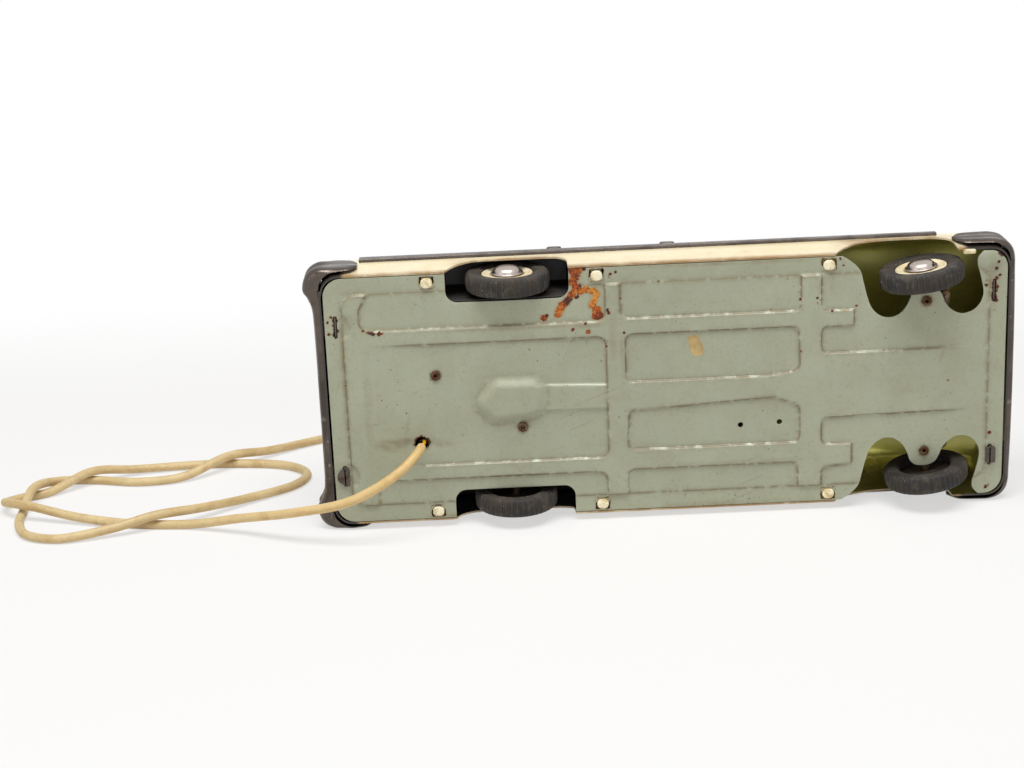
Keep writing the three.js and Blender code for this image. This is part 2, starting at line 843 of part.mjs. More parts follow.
function bodyShell() {
  const outer = loft(bodyStations(0).map((x) => bodyRing(x, 0, 0))).add(cabinSolid(0));
  const inner = loft(bodyStations(sheet).map((x) => bodyRing(x, sheet, -overrun))).add(cabinSolid(sheet));
  let made = outer.subtract(inner);
  [archCut(rearArch), archCut(frontArch), ...cabinCuts()].forEach((cut) => {
    made = made.subtract(cut);
  });
  bumperTabs().forEach(([x, z]) => {
    both((side, sign) => {
      const half = bumperTab.width / 2 + gap;
      const [x0, x1] = x < 0 ? [bodyRear - gap, x] : [x, bodyFront + gap];
      made = made.subtract(box(x0, x1, bumperTab.armRise - gap, bumperTab.armRise + sheet + gap,
        sign * z - half, sign * z + half));
    });
  });
  bodyTabPlaces.forEach((x) => {
    made = made.add(foldedTab(x)).add(mirrored(foldedTab(x)));
  });
  piece('body_shell', made, 'bodyPaint');
}

function windowPane() {
  const inset = sheet + gap;
  const solidPart = cabinSolid(inset).subtract(cabinSolid(inset + windowInsert.wall));
  const made = solidPart.trimByPlane([0, 1, 0], windowInsert.low);
  piece('window_insert', made, 'clear');
}

// Bumpers

function bumperTabs() {
  return [[bumperTab.rearX, bumperTab.rearZ], [bumperTab.frontX, bumperTab.frontZ]];
}

// Run of one bumper half as [inner point, outward normal, thickness, height share]
function bumperRun(end, sign) {
  const sizes = bumper[end];
  const inner = body.cornerRadius + gap;
  const centreX = end === 'rear' ? bodyRear + body.cornerRadius : bodyFront - body.cornerRadius;
  const outward = end === 'rear' ? -1 : 1;
  const centreZ = body.waist - body.cornerRadius;
  const side = sign * (centreZ + inner);
  const thin = restHalf - centreZ - inner;
  const run = [];
  const thick = () => sizes.thickness * sizes.thicknessShares[run.length];
  bumper.runShares.forEach((share) => {
    run.push([[centreX + outward * inner, sign * centreZ * share], [outward, 0], thick(), 1]);
  });
  for (let i = 0; i < bumper.arcSteps; i += 1) {
    const angle = (i / bumper.arcSteps) * (Math.PI / 2);
    const normal = [outward * Math.cos(angle), sign * Math.sin(angle)];
    run.push([[centreX + inner * normal[0], sign * centreZ + inner * normal[1]], normal, thick(), 1]);
  }
  run.push([[centreX, side], [0, sign], thin, 1]);
  run.push([[centreX - outward * sizes.wrap, side], [0, sign], thin, bumper.wrapShare]);
  const tipX = centreX - outward * (sizes.wrap + sizes.tip);
  run.push([[tipX, side], [0, sign], thin, bumper.tipShare]);
  return run;
}

function bumperRing([[px, pz], [nx, nz], thickness, heightShare]) {
  const middle = (bumper.low + bumper.high) / 2;
  const half = ((bumper.high - bumper.low) / 2) * heightShare;
  return bumper.sectionShares.map(([out, up]) => {
    const reach = thickness * out;
    return [px + nx * reach, middle + half * up, pz + nz * reach];
  });
}

function bumperFixing(end, sign, folded) {
  const [x, z] = end === 'rear' ? bumperTabs()[0] : bumperTabs()[1];
  const outward = end === 'rear' ? -1 : 1;
  const half = bumperTab.width / 2;
  const middle = sign * z;
  const rise = bumperTab.armRise;
  const wall = end === 'rear' ? bodyRear : bodyFront;
  const reach = wall + outward * (gap + sheet);
  const span = [x - outward * (sheet / 2), reach].sort((a, b) => a - b);
  let made = box(span[0], span[1], rise, rise + sheet, middle - half, middle + half);
  const under = folded ? -gap - sheet : -sheet;
  made = made.add(box(x - sheet / 2, x + sheet / 2, under, rise + sheet, middle - half, middle + half));
  if (folded) {
    const head = new THREE.Shape();
    head.absarc(0, 0, half, Math.PI / 2, 1.5 * Math.PI, false);
    const flap = slab(head, under, -gap, 6).scale([bumperTab.headLength / half, 1, 1]);
    const turnedFlap = outward < 0 ? flap.mirror([1, 0, 0]) : flap;
    made = made.add(turnedFlap.translate([x - outward * (sheet / 2) + outward * gap, 0, middle]));
  }
  return made;
}

function bumperPiece(end) {
  const right = bumperRun(end, 1).reverse();
  const left = bumperRun(end, -1).slice(1);
  let made = loft(right.concat(left).map(bumperRing));
  made = made.add(bumperFixing(end, 1, false)).add(bumperFixing(end, -1, true));
  piece(`${end}_bumper`, made, 'plating');
}

// Trim and lamps

function trimStrips() {
  const low = stripMiddle - trim.half;
  const high = stripMiddle + trim.half;
  const chamfer = trim.chamfer;
  const section = [[trim.inner, low], [restHalf - chamfer, low], [restHalf, low + chamfer],
    [restHalf, high - chamfer], [restHalf - chamfer, high], [trim.inner, high]];
  const right = crossPlate(polygon(section), trim.rear, trim.front);
  piece('trim_strip_right', right, 'plating');
  piece('trim_strip_left', mirrored(right), 'plating');
}

function doorHandles() {
  [['rear', handle.rearDoor], ['front', handle.frontDoor]].forEach(([door, x]) => {
    const radius = (handle.high - handle.low) / 2;
    const shape = roundedRect(x, x + handle.length, handle.low, handle.high, radius);
    const right = sidePlate(shape, trim.inner, handle.outer, 3);
    piece(`door_handle_${door}_right`, right, 'plating');
    piece(`door_handle_${door}_left`, mirrored(right), 'plating');
  });
}

function lamps() {
  const h = headlamp;
  const seatX = bodyFront + gap;
  both((side, sign) => {
    const lens = turned([[0, 0], [h.radius, 0], [h.radius, h.depth - h.rim], [h.radius - h.rim, h.depth],
      [0, h.depth]], 16).rotate([0, 90, 0]);
    piece(`headlamp_${side}`, lens.translate([seatX, h.y, sign * h.z]), 'clearLens');
    const t = tailLamp;
    const z = sign * t.z;
    const shape = roundedRect(z - t.half, z + t.half, t.y - t.height / 2, t.y + t.height / 2, t.radius);
    const back = bodyRear - gap;
    piece(`tail_lamp_${side}`, crossPlate(shape, back - t.depth, back, 3), 'redLens');
  });
}

function radiatorGrille() {
  const g = grille;
  const seatX = bodyFront + gap;
  let made = crossPlate(roundedRect(-g.half, g.half, g.low, g.high, g.radius), seatX, seatX + g.depth, 3);
  const pitch = (g.high - g.low - 2 * g.edge + g.barGap) / g.bars;
  for (let i = 0; i < g.bars; i += 1) {
    const low = g.low + g.edge + i * pitch;
    made = made.subtract(box(seatX - overrun, seatX + overrun, low, low + pitch - g.barGap,
      -g.half + 2 * g.edge, g.half - 2 * g.edge));
  }
  piece('grille', made, 'chrome');
}

// Cabin fittings

function halfWidthAt(y) {
  return between([[body.waistHigh, body.waist], [deckLine[4][1] - body.shoulderDrop, body.belt]], y);
}

function seats() {
  const s = seat;
  const half = halfWidthAt(s.floor + sheet) - sheet - gap;
  let made = slab(roundedRect(s.rear, s.front, -half, half, sheet), s.floor, s.floor + sheet);
  const top = s.floor + sheet;
  s.starts.forEach((x) => {
    made = made.add(box(x, x + s.benchDepth, top - sheet / 2, top + s.benchHeight, -s.benchHalf,
      s.benchHalf));
    made = made.add(box(x - s.backDepth / 2, x + s.backDepth / 2, top - sheet / 2, top + s.backHeight,
      -s.benchHalf, s.benchHalf));
  });
  made = made.add(box(s.front - s.dashDepth, s.front, top - sheet / 2, top + s.dashHeight,
    -s.benchHalf, s.benchHalf));
  piece('seat_insert', made, 'seatPaint');
}

function steeringWheel() {
  const s = steering;
  const rim = turned([[s.radius - s.rim, -s.rim], [s.radius, 0], [s.radius - s.rim, s.rim],
    [s.radius - 2 * s.rim, 0], [s.radius - s.rim, -s.rim]], 20);
  const inside = s.radius - s.rim;
  let made = rim.add(box(-inside, inside, -s.spoke / 2, s.spoke / 2, -s.rim / 2, s.rim / 2));
  made = made.add(rod(s.column, 0, s.columnLength, 8)).add(rod(2 * s.column, -s.rim, s.rim, 10));
  made = made.rotate([0, 90, 0]).rotate([0, 0, -s.tilt]);
  const limit = seat.front - seat.dashDepth - gap;
  made = made.translate([s.x, s.y, s.z]).trimByPlane([-1, 0, 0], -limit);
  piece('steering_wheel', made, 'handsetPlastic');
}

// Wheels and axles

function tyreSolid() {
  const t = tyre;
  const half = [[t.seat, t.seatHalf], [t.bulge, t.half], [t.shoulder, t.half], [t.tread, t.treadHalf],
    [t.radius, t.crownHalf]];
  const back = half.map(([r, z]) => [r, -z]);
  return turned([...half, ...back.reverse(), half[0]].reverse(), t.steps);
}

function discSolid() {
  const d = disc;
  const bore = axle.radius + gap;
  const rim = d.radius - d.rimWidth;
  return turned([[bore, -d.back], [d.radius, -d.back], [d.radius, d.half], [rim, d.half],
    [rim - d.rimWidth / 2, d.web], [bore, d.web], [bore, -d.back]], d.steps);
}

function capSolid() {
  const c = cap;
  const start = disc.web + gap;
  return turned([[0, start], [c.flange, start], [c.flange, start + c.flangeThickness],
    [c.dome, start + c.flangeThickness], [c.shoulder, start + c.rise], [c.mid, start + c.midRise],
    [0, start + c.height]], disc.steps);
}

function wheelSet(name, parent, sign, offset) {
  const place = (made) => (sign > 0 ? made : mirrored(made)).translate([0, 0, sign * offset]);
  piece(`tyre_${name}`, place(tyreSolid()), 'rubber', parent);
  piece(`wheel_disc_${name}`, place(discSolid()), 'discPaint', parent);
  piece(`hub_cap_${name}`, place(capSolid()), 'chrome', parent);
}

function rearWheels() {
  const line = new THREE.Group();
  line.position.set(0, axleRise, 0);
  car.add(line);
  const end = wheelMiddle + axle.endInset;
  piece('rear_axle', rod(axle.radius, -end, end, 14), 'steel', line);
  both((side, sign) => wheelSet(`rear_${side}`, line, sign, wheelMiddle));
}

function wheelWells() {
  const w = rearWell;
  const [x0, x1] = [-w.rear - gap - sheet, w.front + gap + sheet];
  const z0 = w.inner - gap - sheet;
  const z1 = body.skirt - sheet - gap;
  const low = sheet + gap;
  let made = box(x0, x1, low, w.height, z0, z1);
  made = made.subtract(box(x0 + sheet, x1 - sheet, low - overrun, w.height - sheet, z0 + sheet,
    z1 + overrun));
  made = made.subtract(rod(axle.radius + axle.running, z0 - overrun, z0 + overrun, 14)
    .translate([0, axleRise, 0]));
  piece('wheel_well_right', made, 'blackPaint');
  piece('wheel_well_left', mirrored(made), 'blackPaint');
}

function kingpins() {
  const k = kingpin;
  const outside = base.panelDepth - base.fieldRise - gap;
  const top = bridge.low + sheet + gap;
  both((side, sign) => {
    const low = outside - k.headThickness;
    const made = turnedUp([[0, low + k.hollowDepth], [k.hollowRadius, low + k.hollowDepth],
      [k.hollowRadius, low], [k.headRadius, low], [k.headRadius, outside], [k.radius, outside],
      [k.radius, top], [k.topRadius, top], [k.topRadius, top + k.headThickness],
      [0, top + k.headThickness]], 10);
    piece(`kingpin_${side}`, made.translate([wheelbase, 0, sign * k.offset]), 'steel');
  });
}

function knuckleSolid(sign) {
  const s = steer;
  const bore = kingpin.radius + axle.running / 2;
  const armHigh = s.armLow + s.armThickness;
  const bossLow = sheet - base.fieldRise + base.panelDepth + gap;
  let made = post(s.bossRadius, bossLow, s.bossHigh, 12);
  const end = frontWheelOut + axle.endInset;
  const stub = rod(axle.radius, 0, end, 10).translate([0, frontAxleRise, 0]);
  made = made.add(sign > 0 ? stub : mirrored(stub));
  const arm = roundedRect(0, s.arm + s.armWidth / 2, -s.armWidth / 2, s.armWidth / 2, s.armWidth / 2);
  made = made.add(slab(arm, s.armLow, armHigh, 3));
  made = made.add(post(s.pinRadius, s.pinHeadLow, s.pinHigh, 8).translate([s.arm, 0, 0]));
  made = made.add(post(s.pinHeadRadius, s.pinHeadLow, s.pinHeadHigh, 10).translate([s.arm, 0, 0]));
  return made.subtract(post(bore, bossLow - overrun, s.bossHigh + overrun, 10));
}

function frontWheels() {
  both((side, sign) => {
    const knuckle = new THREE.Group();
    knuckle.position.set(wheelbase, 0, sign * kingpin.offset);
    knuckle.rotation.y = -THREE.MathUtils.degToRad(steer.angle);
    car.add(knuckle);
    piece(`knuckle_${side}`, knuckleSolid(sign), 'steel', knuckle);
    const stub = new THREE.Group();
    stub.position.set(0, frontAxleRise, 0);
    knuckle.add(stub);
    wheelSet(`front_${side}`, stub, sign, frontWheelOut);
  });
}

function tieRod() {
  const s = steer;
  const turn = THREE.MathUtils.degToRad(s.angle);
  const [pinX, shift] = [s.arm * Math.cos(turn), s.arm * Math.sin(turn)];
  const low = s.armLow + s.armThickness + gap;
  const high = low + s.rodThickness;
  let made = slab(roundedRect(pinX - s.rodHalfWidth, pinX + s.rodHalfWidth, -s.rodEnd, s.rodEnd,
    s.rodHalfWidth), low, high, 3);
  made = made.add(slab(roundedRect(pinX - s.armatureLength, pinX, -s.armatureHalf, s.armatureHalf, sheet),
    low, high, 2));
  const wide = s.pinRadius + gap;
  both((side, sign) => {
    const slot = roundedRect(pinX - wide - s.slotExtra, pinX + wide, sign * kingpin.offset - wide,
      sign * kingpin.offset + wide, wide);
    made = made.subtract(slab(slot, low - overrun, high + overrun, 2));
  });
  piece('tie_rod', made.translate([wheelbase, 0, shift]), 'steel');
}

function frontBridge() {
  const b = bridge;
  const floor = sheet - base.fieldRise + base.panelDepth + gap;
  const [x0, x1] = [wheelbase - b.width / 2, wheelbase + b.width / 2];
  let made = slab(roundedRect(x0, x1, -b.half, b.half, b.width / 2), b.low, b.low + sheet, 5);
  both((side, sign) => {
    const leg = box(x0, x1, floor, b.low + sheet / 2, b.leg, b.leg + sheet);
    const foot = box(x0, x1, floor, floor + sheet, b.leg - b.foot, b.leg + sheet);
    const stand = leg.add(foot);
    made = made.add(sign > 0 ? stand : mirrored(stand));
    made = made.subtract(post(kingpin.radius + gap, b.low - overrun, b.low + overrun, 14)
      .translate([wheelbase, 0, sign * kingpin.offset]));
  });
  piece('front_bridge', made, 'steel');
}

function steeringMagnet() {
  const m = magnet;
  const floor = sheet - base.fieldRise + gap;
  let made = rod(m.radius, -m.half, m.half, 14);
  both((side, sign) => {
    const cheek = rod(m.cheekRadius, m.half - m.cheek, m.half, 14);
    const core = rod(m.core, 0, m.half + m.coreOut, 10);
    const end = cheek.add(core);
    made = made.add(sign > 0 ? end : mirrored(end));
  });
  made = made.translate([m.x, m.y, 0]);
  made = made.add(box(m.x - m.radius, m.x + m.radius, floor, m.y - m.radius / 2, -m.half / 2, m.half / 2));
  piece('steering_magnet', made, 'brass');
}

// Drive

function gearSolid(teeth, low, high, bore) {
  const d = drive;
  const pitch = (d.module * teeth) / 2;
  const root = pitch - d.rootDepth;
  const tip = pitch + d.tipHeight;
  const step = (2 * Math.PI) / teeth;
  const thin = d.backlash / pitch / 2;
  const shape = new THREE.Shape();
  for (let i = 0; i < teeth; i += 1) {
    const middle = i * step;
    const corner = [[root, thin - drive.rootShare * step], [tip, thin - drive.tipShare * step],
      [tip, drive.tipShare * step - thin], [root, drive.rootShare * step - thin]];
    corner.forEach(([r, angle], k) => {
      const x = r * Math.cos(middle + angle);
      const y = r * Math.sin(middle + angle);
      if (i === 0 && k === 0) shape.moveTo(x, y);
      else shape.lineTo(x, y);
    });
  }
  let made = sidePlate(shape, low, high);
  if (bore > 0) made = made.subtract(rod(bore, low - overrun, high + overrun, 14));
  return made;
}

const gearPitch = (drive.module * drive.gearTeeth) / 2;
const pinionPitch = (drive.module * drive.pinionTeeth) / 2;
const driveAngle = THREE.MathUtils.degToRad(drive.angle);
const motorX = (gearPitch + pinionPitch) * Math.cos(driveAngle);
const motorY = axleRise + (gearPitch + pinionPitch) * Math.sin(driveAngle);

function gears() {
  const d = drive;
  const gear = gearSolid(d.gearTeeth, d.gearLow, d.gearHigh, d.gearBore).rotate([0, 0, d.angle]);
  piece('axle_gear', gear.translate([0, axleRise, 0]), 'brass');
  const halfTooth = 180 / d.pinionTeeth;
  const pinion = gearSolid(d.pinionTeeth, d.pinionLow, d.pinionHigh, 0)
    .rotate([0, 0, d.angle + 180 + halfTooth]);
  const shaft = rod(motor.shaftRadius, bracket.face - motor.nose, d.pinionLow + gap, 10);
  piece('motor_pinion', pinion.add(shaft).translate([motorX, motorY, 0]), 'brass');
}

function driveMotor() {
  const m = motor;
  const front = bracket.face - sheet - gap;
  const back = front - m.length;
  const socket = bracket.face - m.nose - gap;
  const bore = m.shaftRadius + axle.running;
  let made = turned([[0, back], [m.radius - m.chamfer, back], [m.radius, back + m.chamfer],
    [m.radius, front - m.chamfer], [m.radius - m.chamfer, front], [m.noseRadius, front],
    [m.noseRadius, bracket.face], [bore, bracket.face], [bore, socket], [0, socket]], m.steps);
  made = made.translate([motorX, motorY, 0]);
  piece('motor', made, 'steel');
}

function motorBracket() {
  const b = bracket;
  const footTop = b.footRise + sheet;
  const foot = polygon([[b.rear, b.footLow], [b.front, b.footLow], [b.front, b.face], [b.armFront, b.face],
    [b.armFront, b.armHigh], [b.rear, b.armHigh]]);
  let made = slab(foot, b.footRise, footTop);
  const wall = roundedRect(b.wallRear, b.front, b.footRise, b.height, b.topRadius);
  made = made.add(sidePlate(wall, b.face - sheet, b.face, 4));
  made = made.add(box(b.wallRear, b.front, b.footRise, b.footRise + b.topRadius, b.face - sheet, b.face));
  const through = (radius, x, y) => rod(radius, b.face - overrun, b.face + overrun, 16).translate([x, y, 0]);
  made = made.subtract(through(axle.radius + axle.running, 0, axleRise));
  made = made.subtract(through(motor.noseRadius + gap, motorX, motorY));
  motorRivets.forEach(({ x, z }) => {
    made = made.subtract(post(kingpin.radius + gap, -overrun, footTop + sheet, 12).translate([x, 0, z]));
  });
  piece('motor_bracket', made, 'steel');
}

function bracketRivets() {
  const k = kingpin;
  const outside = base.panelDepth - base.fieldRise - gap;
  motorRivets.forEach(({ x, z }, i) => {
    const low = outside - k.headThickness;
    const top = bracket.footRise + sheet + gap;
    const made = turnedUp([[0, low + k.hollowDepth / 2], [k.hollowRadius, low + k.hollowDepth / 2],
      [k.hollowRadius, low], [k.headRadius, low], [k.headRadius, outside], [k.radius, outside],
      [k.radius, top], [k.headRadius, top], [k.headRadius, top + k.headThickness],
      [0, top + k.headThickness]], 10);
    piece(`bracket_rivet_${i + 1}`, made.translate([x, 0, z]), 'steel');
  });
}

// Cord

function tube(points, radius, sides, steps) {
  const section = new THREE.Shape();
  for (let i = 0; i < sides; i += 1) {
    const angle = (2 * Math.PI * i) / sides;
    const [x, y] = [radius * Math.cos(angle), radius * Math.sin(angle)];
    if (i === 0) section.moveTo(x, y);
    else section.lineTo(x, y);
  }
  const path = new THREE.CatmullRomCurve3(points.map((p) => new THREE.Vector3(...p)), false, 'centripetal');
  return solid(new THREE.ExtrudeGeometry(section, { steps, extrudePath: path, curveSegments: 1 }));
}

function cordPieces() {
  const c = cord;
  const made = tube(cordRoute, c.radius, c.sides, c.steps);
  piece('cord', made.trimByPlane([0, 0, 1], 0), 'cordPlastic', part);
  Object.entries(coreRoutes).forEach(([name, path]) => {
    piece(`lead_core_${name}`, tube(path, c.coreRadius, c.coreSides, c.coreSteps), `${name}Core`);
  });
}

// Handset

function handsetOutline(inset) {
  const h = handset;
  return roundedRect(inset, h.length - inset, -h.width / 2 + inset, h.width / 2 - inset, h.radius - inset);
}

// A flat outline of the handset, from height low to high
function layer(shape, low, high, steps) {
  const geometry = extruded(shape, high - low, steps);
  geometry.translate(0, 0, low);
  return solid(geometry);
}

function handsetPieces() {
  const h = handset;
  const group = new THREE.Group();
  group.position.set(h.x, h.y, 0);
  part.add(group);
  const lower = layer(handsetOutline(h.edge), 0, h.edge, 2)
    .add(layer(handsetOutline(0), h.edge / 2, h.split, 2));
  let tray = lower.subtract(layer(handsetOutline(h.wall), h.wall, h.split + overrun, 2));
  const boss = (x, low, high) => layer(circle(x, 0, screw.boss), low, high, 8);
  tray = tray.add(boss(screw.x, h.wall / 2, h.split - gap));
  const shank = layer(circle(screw.x, 0, screw.radius + gap), -overrun, h.split + overrun, 8);
  const sink = layer(circle(screw.x, 0, screw.head + gap), -overrun, screw.headThickness + gap, 10);
  tray = tray.subtract(shank).subtract(sink);
  const inlet = rodAlongX(h.glandEnd + gap, -overrun, overrun).translate([0, 0, h.cordRise]);
  tray = tray.subtract(inlet);
  piece('handset_tray', tray, 'handsetPlastic', group);
  const seam = h.split + gap;
  let cover = layer(handsetOutline(0), seam, h.height - h.edge / 2, 2);
  cover = cover.add(layer(handsetOutline(h.edge), h.height - h.edge, h.height, 2));
  cover = cover.subtract(layer(handsetOutline(h.wall), seam - overrun, h.height - h.wall, 2));
  cover = cover.add(layer(circle(screw.x, 0, screw.boss), seam, h.height - h.wall / 2, 8));
  cover = cover.subtract(layer(circle(screw.x, 0, screw.radius + gap), seam - overrun,
    h.height - 2 * h.wall, 8));
  const s = slider;
  const slotHalf = s.stem / 2 + gap;
  cover = cover.subtract(layer(roundedRect(s.x - slotHalf - s.travel / 2, s.x + slotHalf + s.travel / 2,
    -slotHalf, slotHalf, slotHalf), seam, h.height + overrun, 4));
  cover = cover.subtract(layer(circle(knob.x, 0, knob.stem + axle.running), h.height - 2 * h.wall,
    h.height + overrun, 12));
  piece('handset_cover', cover, 'handsetPlastic', group);
  handsetControls(group);
  handsetPower(group);
  const gland = turned([[0, 0], [h.glandEnd, 0], [h.glandEnd, h.glandLength / 3],
    [h.glandRadius, h.glandLength / 3], [h.glandEnd - sheet / 2, h.glandLength], [0, h.glandLength]], 14);
  piece('cord_gland', gland.rotate([0, -90, 0]).translate([h.glandLength / 3 - gap, 0, h.cordRise]),
    'knobPlastic', group);
}

function circle(x, y, radius) {
  const shape = new THREE.Shape();
  shape.absarc(x, y, radius, 0, 2 * Math.PI, false);
  return shape;
}

function rodAlongX(radius, x0, x1) {
  return rod(radius, x0, x1, 14).rotate([0, 90, 0]);
}

function handsetControls(group) {
  const h = handset;
  const s = slider;
  const under = h.height - h.wall - gap - s.plate;
  const grip = roundedRect(s.x - s.length / 2, s.x + s.length / 2, -s.width / 2, s.width / 2, s.flange);
  const stemHalf = s.stem / 2;
  let made = layer(grip, h.height + gap, h.height + gap + s.height, 2);
  made = made.add(layer(roundedRect(s.x - stemHalf, s.x + stemHalf, -stemHalf, stemHalf, stemHalf), under,
    h.height + s.height, 2));
  made = made.add(layer(roundedRect(s.x - stemHalf - s.flange, s.x + stemHalf + s.flange,
    -stemHalf - s.flange, stemHalf + s.flange, s.flange), under, under + s.plate, 1));
  piece('drive_slider', made, 'knobPlastic', group);
  const k = knob;
  const low = h.height + gap;
  let wheel = layer(circle(0, 0, k.radius - k.ribRadius / 2), low, low + k.height, 10);
  for (let i = 0; i < k.ribs; i += 1) {
    const angle = (2 * Math.PI * i) / k.ribs;
    wheel = wheel.add(layer(circle((k.radius - k.ribRadius) * Math.cos(angle),
      (k.radius - k.ribRadius) * Math.sin(angle), k.ribRadius), low, low + k.height, 3));
  }
  const bottom = h.height - h.wall - k.stemLength;
  wheel = wheel.add(layer(circle(0, 0, k.stem), bottom, low + sheet, 6));
  wheel = wheel.add(layer(circle(0, 0, k.stem + s.flange), bottom, h.height - h.wall - gap, 6));
  piece('steering_knob', wheel.translate([k.x, 0, 0]), 'knobPlastic', group);
}

function handsetPower(group) {
  const h = handset;
  const { start } = cell;
  const rise = h.wall + gap + cell.radius;
  [1, -1].forEach((sign, i) => {
    const made = turned([[0, 0], [cell.radius, 0], [cell.radius, cell.length], [cell.tip, cell.length],
      [cell.tip, cell.length + cell.tipLength], [0, cell.length + cell.tipLength]], cell.steps);
    const whole = cell.length + cell.tipLength;
    const turnedCell = sign > 0 ? made : made.mirror([0, 0, 1]).translate([0, 0, whole]);
    const place = turnedCell.rotate([0, 90, 0]).translate([start, sign * cell.y, rise]);
    piece(`battery_${i + 1}`, place, 'cellWrap', group);
  });
  const plate = (x) => box(x, x + contact.thickness, -contact.width / 2, contact.width / 2,
    h.wall + gap, h.wall + gap + contact.height);
  piece('contact_front', plate(start - gap - contact.thickness), 'brass', group);
  piece('contact_rear', plate(start + cell.length + cell.tipLength + gap), 'brass', group);
  const top = h.height - 2 * h.wall - gap;
  let bolt = layer(circle(screw.x, 0, screw.radius), 0, top, 8);
  bolt = bolt.add(layer(circle(screw.x, 0, screw.head), 0, screw.headThickness, 10));
  const slotHalf = screw.slot / 2;
  bolt = bolt.subtract(box(screw.x - screw.head - overrun, screw.x + screw.head + overrun,
    -slotHalf, slotHalf, -overrun, screw.slotDepth));
  piece('handset_screw', bolt.translate([0, 0, gap]), 'steel', group);
}

basePlate();
bodyShell();
windowPane();
bumperPiece('front');
bumperPiece('rear');
trimStrips();
doorHandles();
lamps();
radiatorGrille();
seats();
steeringWheel();
rearWheels();
wheelWells();
kingpins();
frontWheels();
tieRod();
frontBridge();
steeringMagnet();
gears();
driveMotor();
motorBracket();
bracketRivets();
cordPieces();
handsetPieces();

export default part;
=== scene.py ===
"""Dresses a pressed tin toy saloon that lies on its left flank, with its cord and handset."""

import math

import bpy
import numpy as np
from mathutils import Matrix, Vector, noise


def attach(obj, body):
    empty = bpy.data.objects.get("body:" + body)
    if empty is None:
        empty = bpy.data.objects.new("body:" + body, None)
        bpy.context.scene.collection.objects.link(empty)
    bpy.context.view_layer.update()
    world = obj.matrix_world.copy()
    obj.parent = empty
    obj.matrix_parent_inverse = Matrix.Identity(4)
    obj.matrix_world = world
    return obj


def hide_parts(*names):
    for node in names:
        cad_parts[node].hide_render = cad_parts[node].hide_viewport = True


bl_info = {
    "name": "Tin Toy Saloon",
    "version": (1, 0, 0),
    "blender": (4, 5, 0),
    "location": "View3D > Sidebar > Tin Saloon",
    "description": "Dresses a pressed tin toy saloon with a cord and a battery handset",
    "category": "Add Mesh",
}

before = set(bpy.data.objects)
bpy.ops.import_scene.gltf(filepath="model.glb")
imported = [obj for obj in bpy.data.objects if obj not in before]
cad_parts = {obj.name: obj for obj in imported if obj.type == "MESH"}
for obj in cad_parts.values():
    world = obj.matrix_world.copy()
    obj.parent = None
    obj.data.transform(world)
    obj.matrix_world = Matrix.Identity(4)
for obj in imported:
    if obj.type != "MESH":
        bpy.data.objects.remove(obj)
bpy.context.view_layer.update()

# Sizes in millimetres. REAR is how far the plate reaches behind the rear axle.
MM = 0.001
SHEET = 0.8
WHEELBASE = 178.0
REAR = 78.5
FRONT = 212.3
BASE_HALF = 54.8
BODY_REAR = -79.7
BODY_FRONT = 213.5
# Rise of the rear axle and the front hubs, wheel and kingpin places, and the hubs' way out
AXLE_RISE = 8.2
FRONT_RISE = 2.8
WHEEL_MIDDLE = 49.2
KINGPIN = 33.7
FRONT_OUT = 11.3
STEER = math.radians(8.5)
# Radius of the corners of the body and the plate, seen from above
CORNER = 8
SIDES = ("right", "left")

# Zero of the car frame: x from the rear axle, y from the base plate, z from the middle
CAR = Vector((-64.9, -16.6, 59.0))


def at(x, y, z):
    """A point of the car frame in millimetres, as metres in the frame of the whole part."""
    return (Vector((x, y, z)) + CAR) * MM


def metres(x, y, z):
    """A point in millimetres, as metres."""
    return Vector((x, y, z)) * MM


def ink(red, green, blue):
    """A colour as seen on a screen, 0 to 255, as Blender's linear values."""
    seen = [c / 255 for c in (red, green, blue)]
    return tuple(c / 12.92 if c <= 0.04045 else ((c + 0.055) / 1.055) ** 2.4 for c in seen)


# Modelling by hand, in code


def deselect():
    if bpy.context.object and bpy.context.object.mode != "OBJECT":
        bpy.ops.object.mode_set(mode="OBJECT")
    bpy.ops.object.select_all(action="DESELECT")


def take(obj):
    deselect()
    obj.select_set(True)
    bpy.context.view_layer.objects.active = obj


def named(name):
    obj = bpy.context.object
    obj.name = name
    obj.data.name = name
    return obj


def edit(obj, *steps):
    """Runs edit mode steps on all of a piece."""
    take(obj)
    bpy.ops.object.mode_set(mode="EDIT")
    bpy.ops.mesh.select_all(action="SELECT")
    for step in steps:
        step()
    bpy.ops.object.mode_set(mode="OBJECT")


def merge():
    bpy.ops.mesh.remove_doubles(threshold=2e-6)


def face_out():
    bpy.ops.mesh.normals_make_consistent(inside=False)


def close_holes():
    bpy.ops.mesh.select_all(action="SELECT")
    bpy.ops.mesh.fill_holes(sides=0)


def skin(name, across, along, place, *steps):
    """A grid laid point by point: place(i, j) gives each point in metres."""
    deselect()
    bpy.ops.mesh.primitive_grid_add(x_subdivisions=across, y_subdivisions=along, size=1)
    obj = named(name)
    for k, vert in enumerate(obj.data.vertices):
        vert.co = place(k % (across + 1), k // (across + 1))
    edit(obj, merge, *steps, face_out)
    return obj


def prism(name, outline, low, high, lay):
    """A flat outline raised from low to high; lay(a, b, h) gives a point in metres."""
    deselect()
    bpy.ops.mesh.primitive_circle_add(vertices=len(outline), fill_type="NGON")
    obj = named(name)
    for vert, (a, b) in zip(obj.data.vertices, outline):
        vert.co = lay(a, b, low)
    rise = lay(0, 0, high) - lay(0, 0, low)
    edit(obj, lambda: bpy.ops.mesh.extrude_region_move(TRANSFORM_OT_translate={"value": rise}),
         lambda: bpy.ops.mesh.select_all(action="SELECT"), face_out)
    return obj


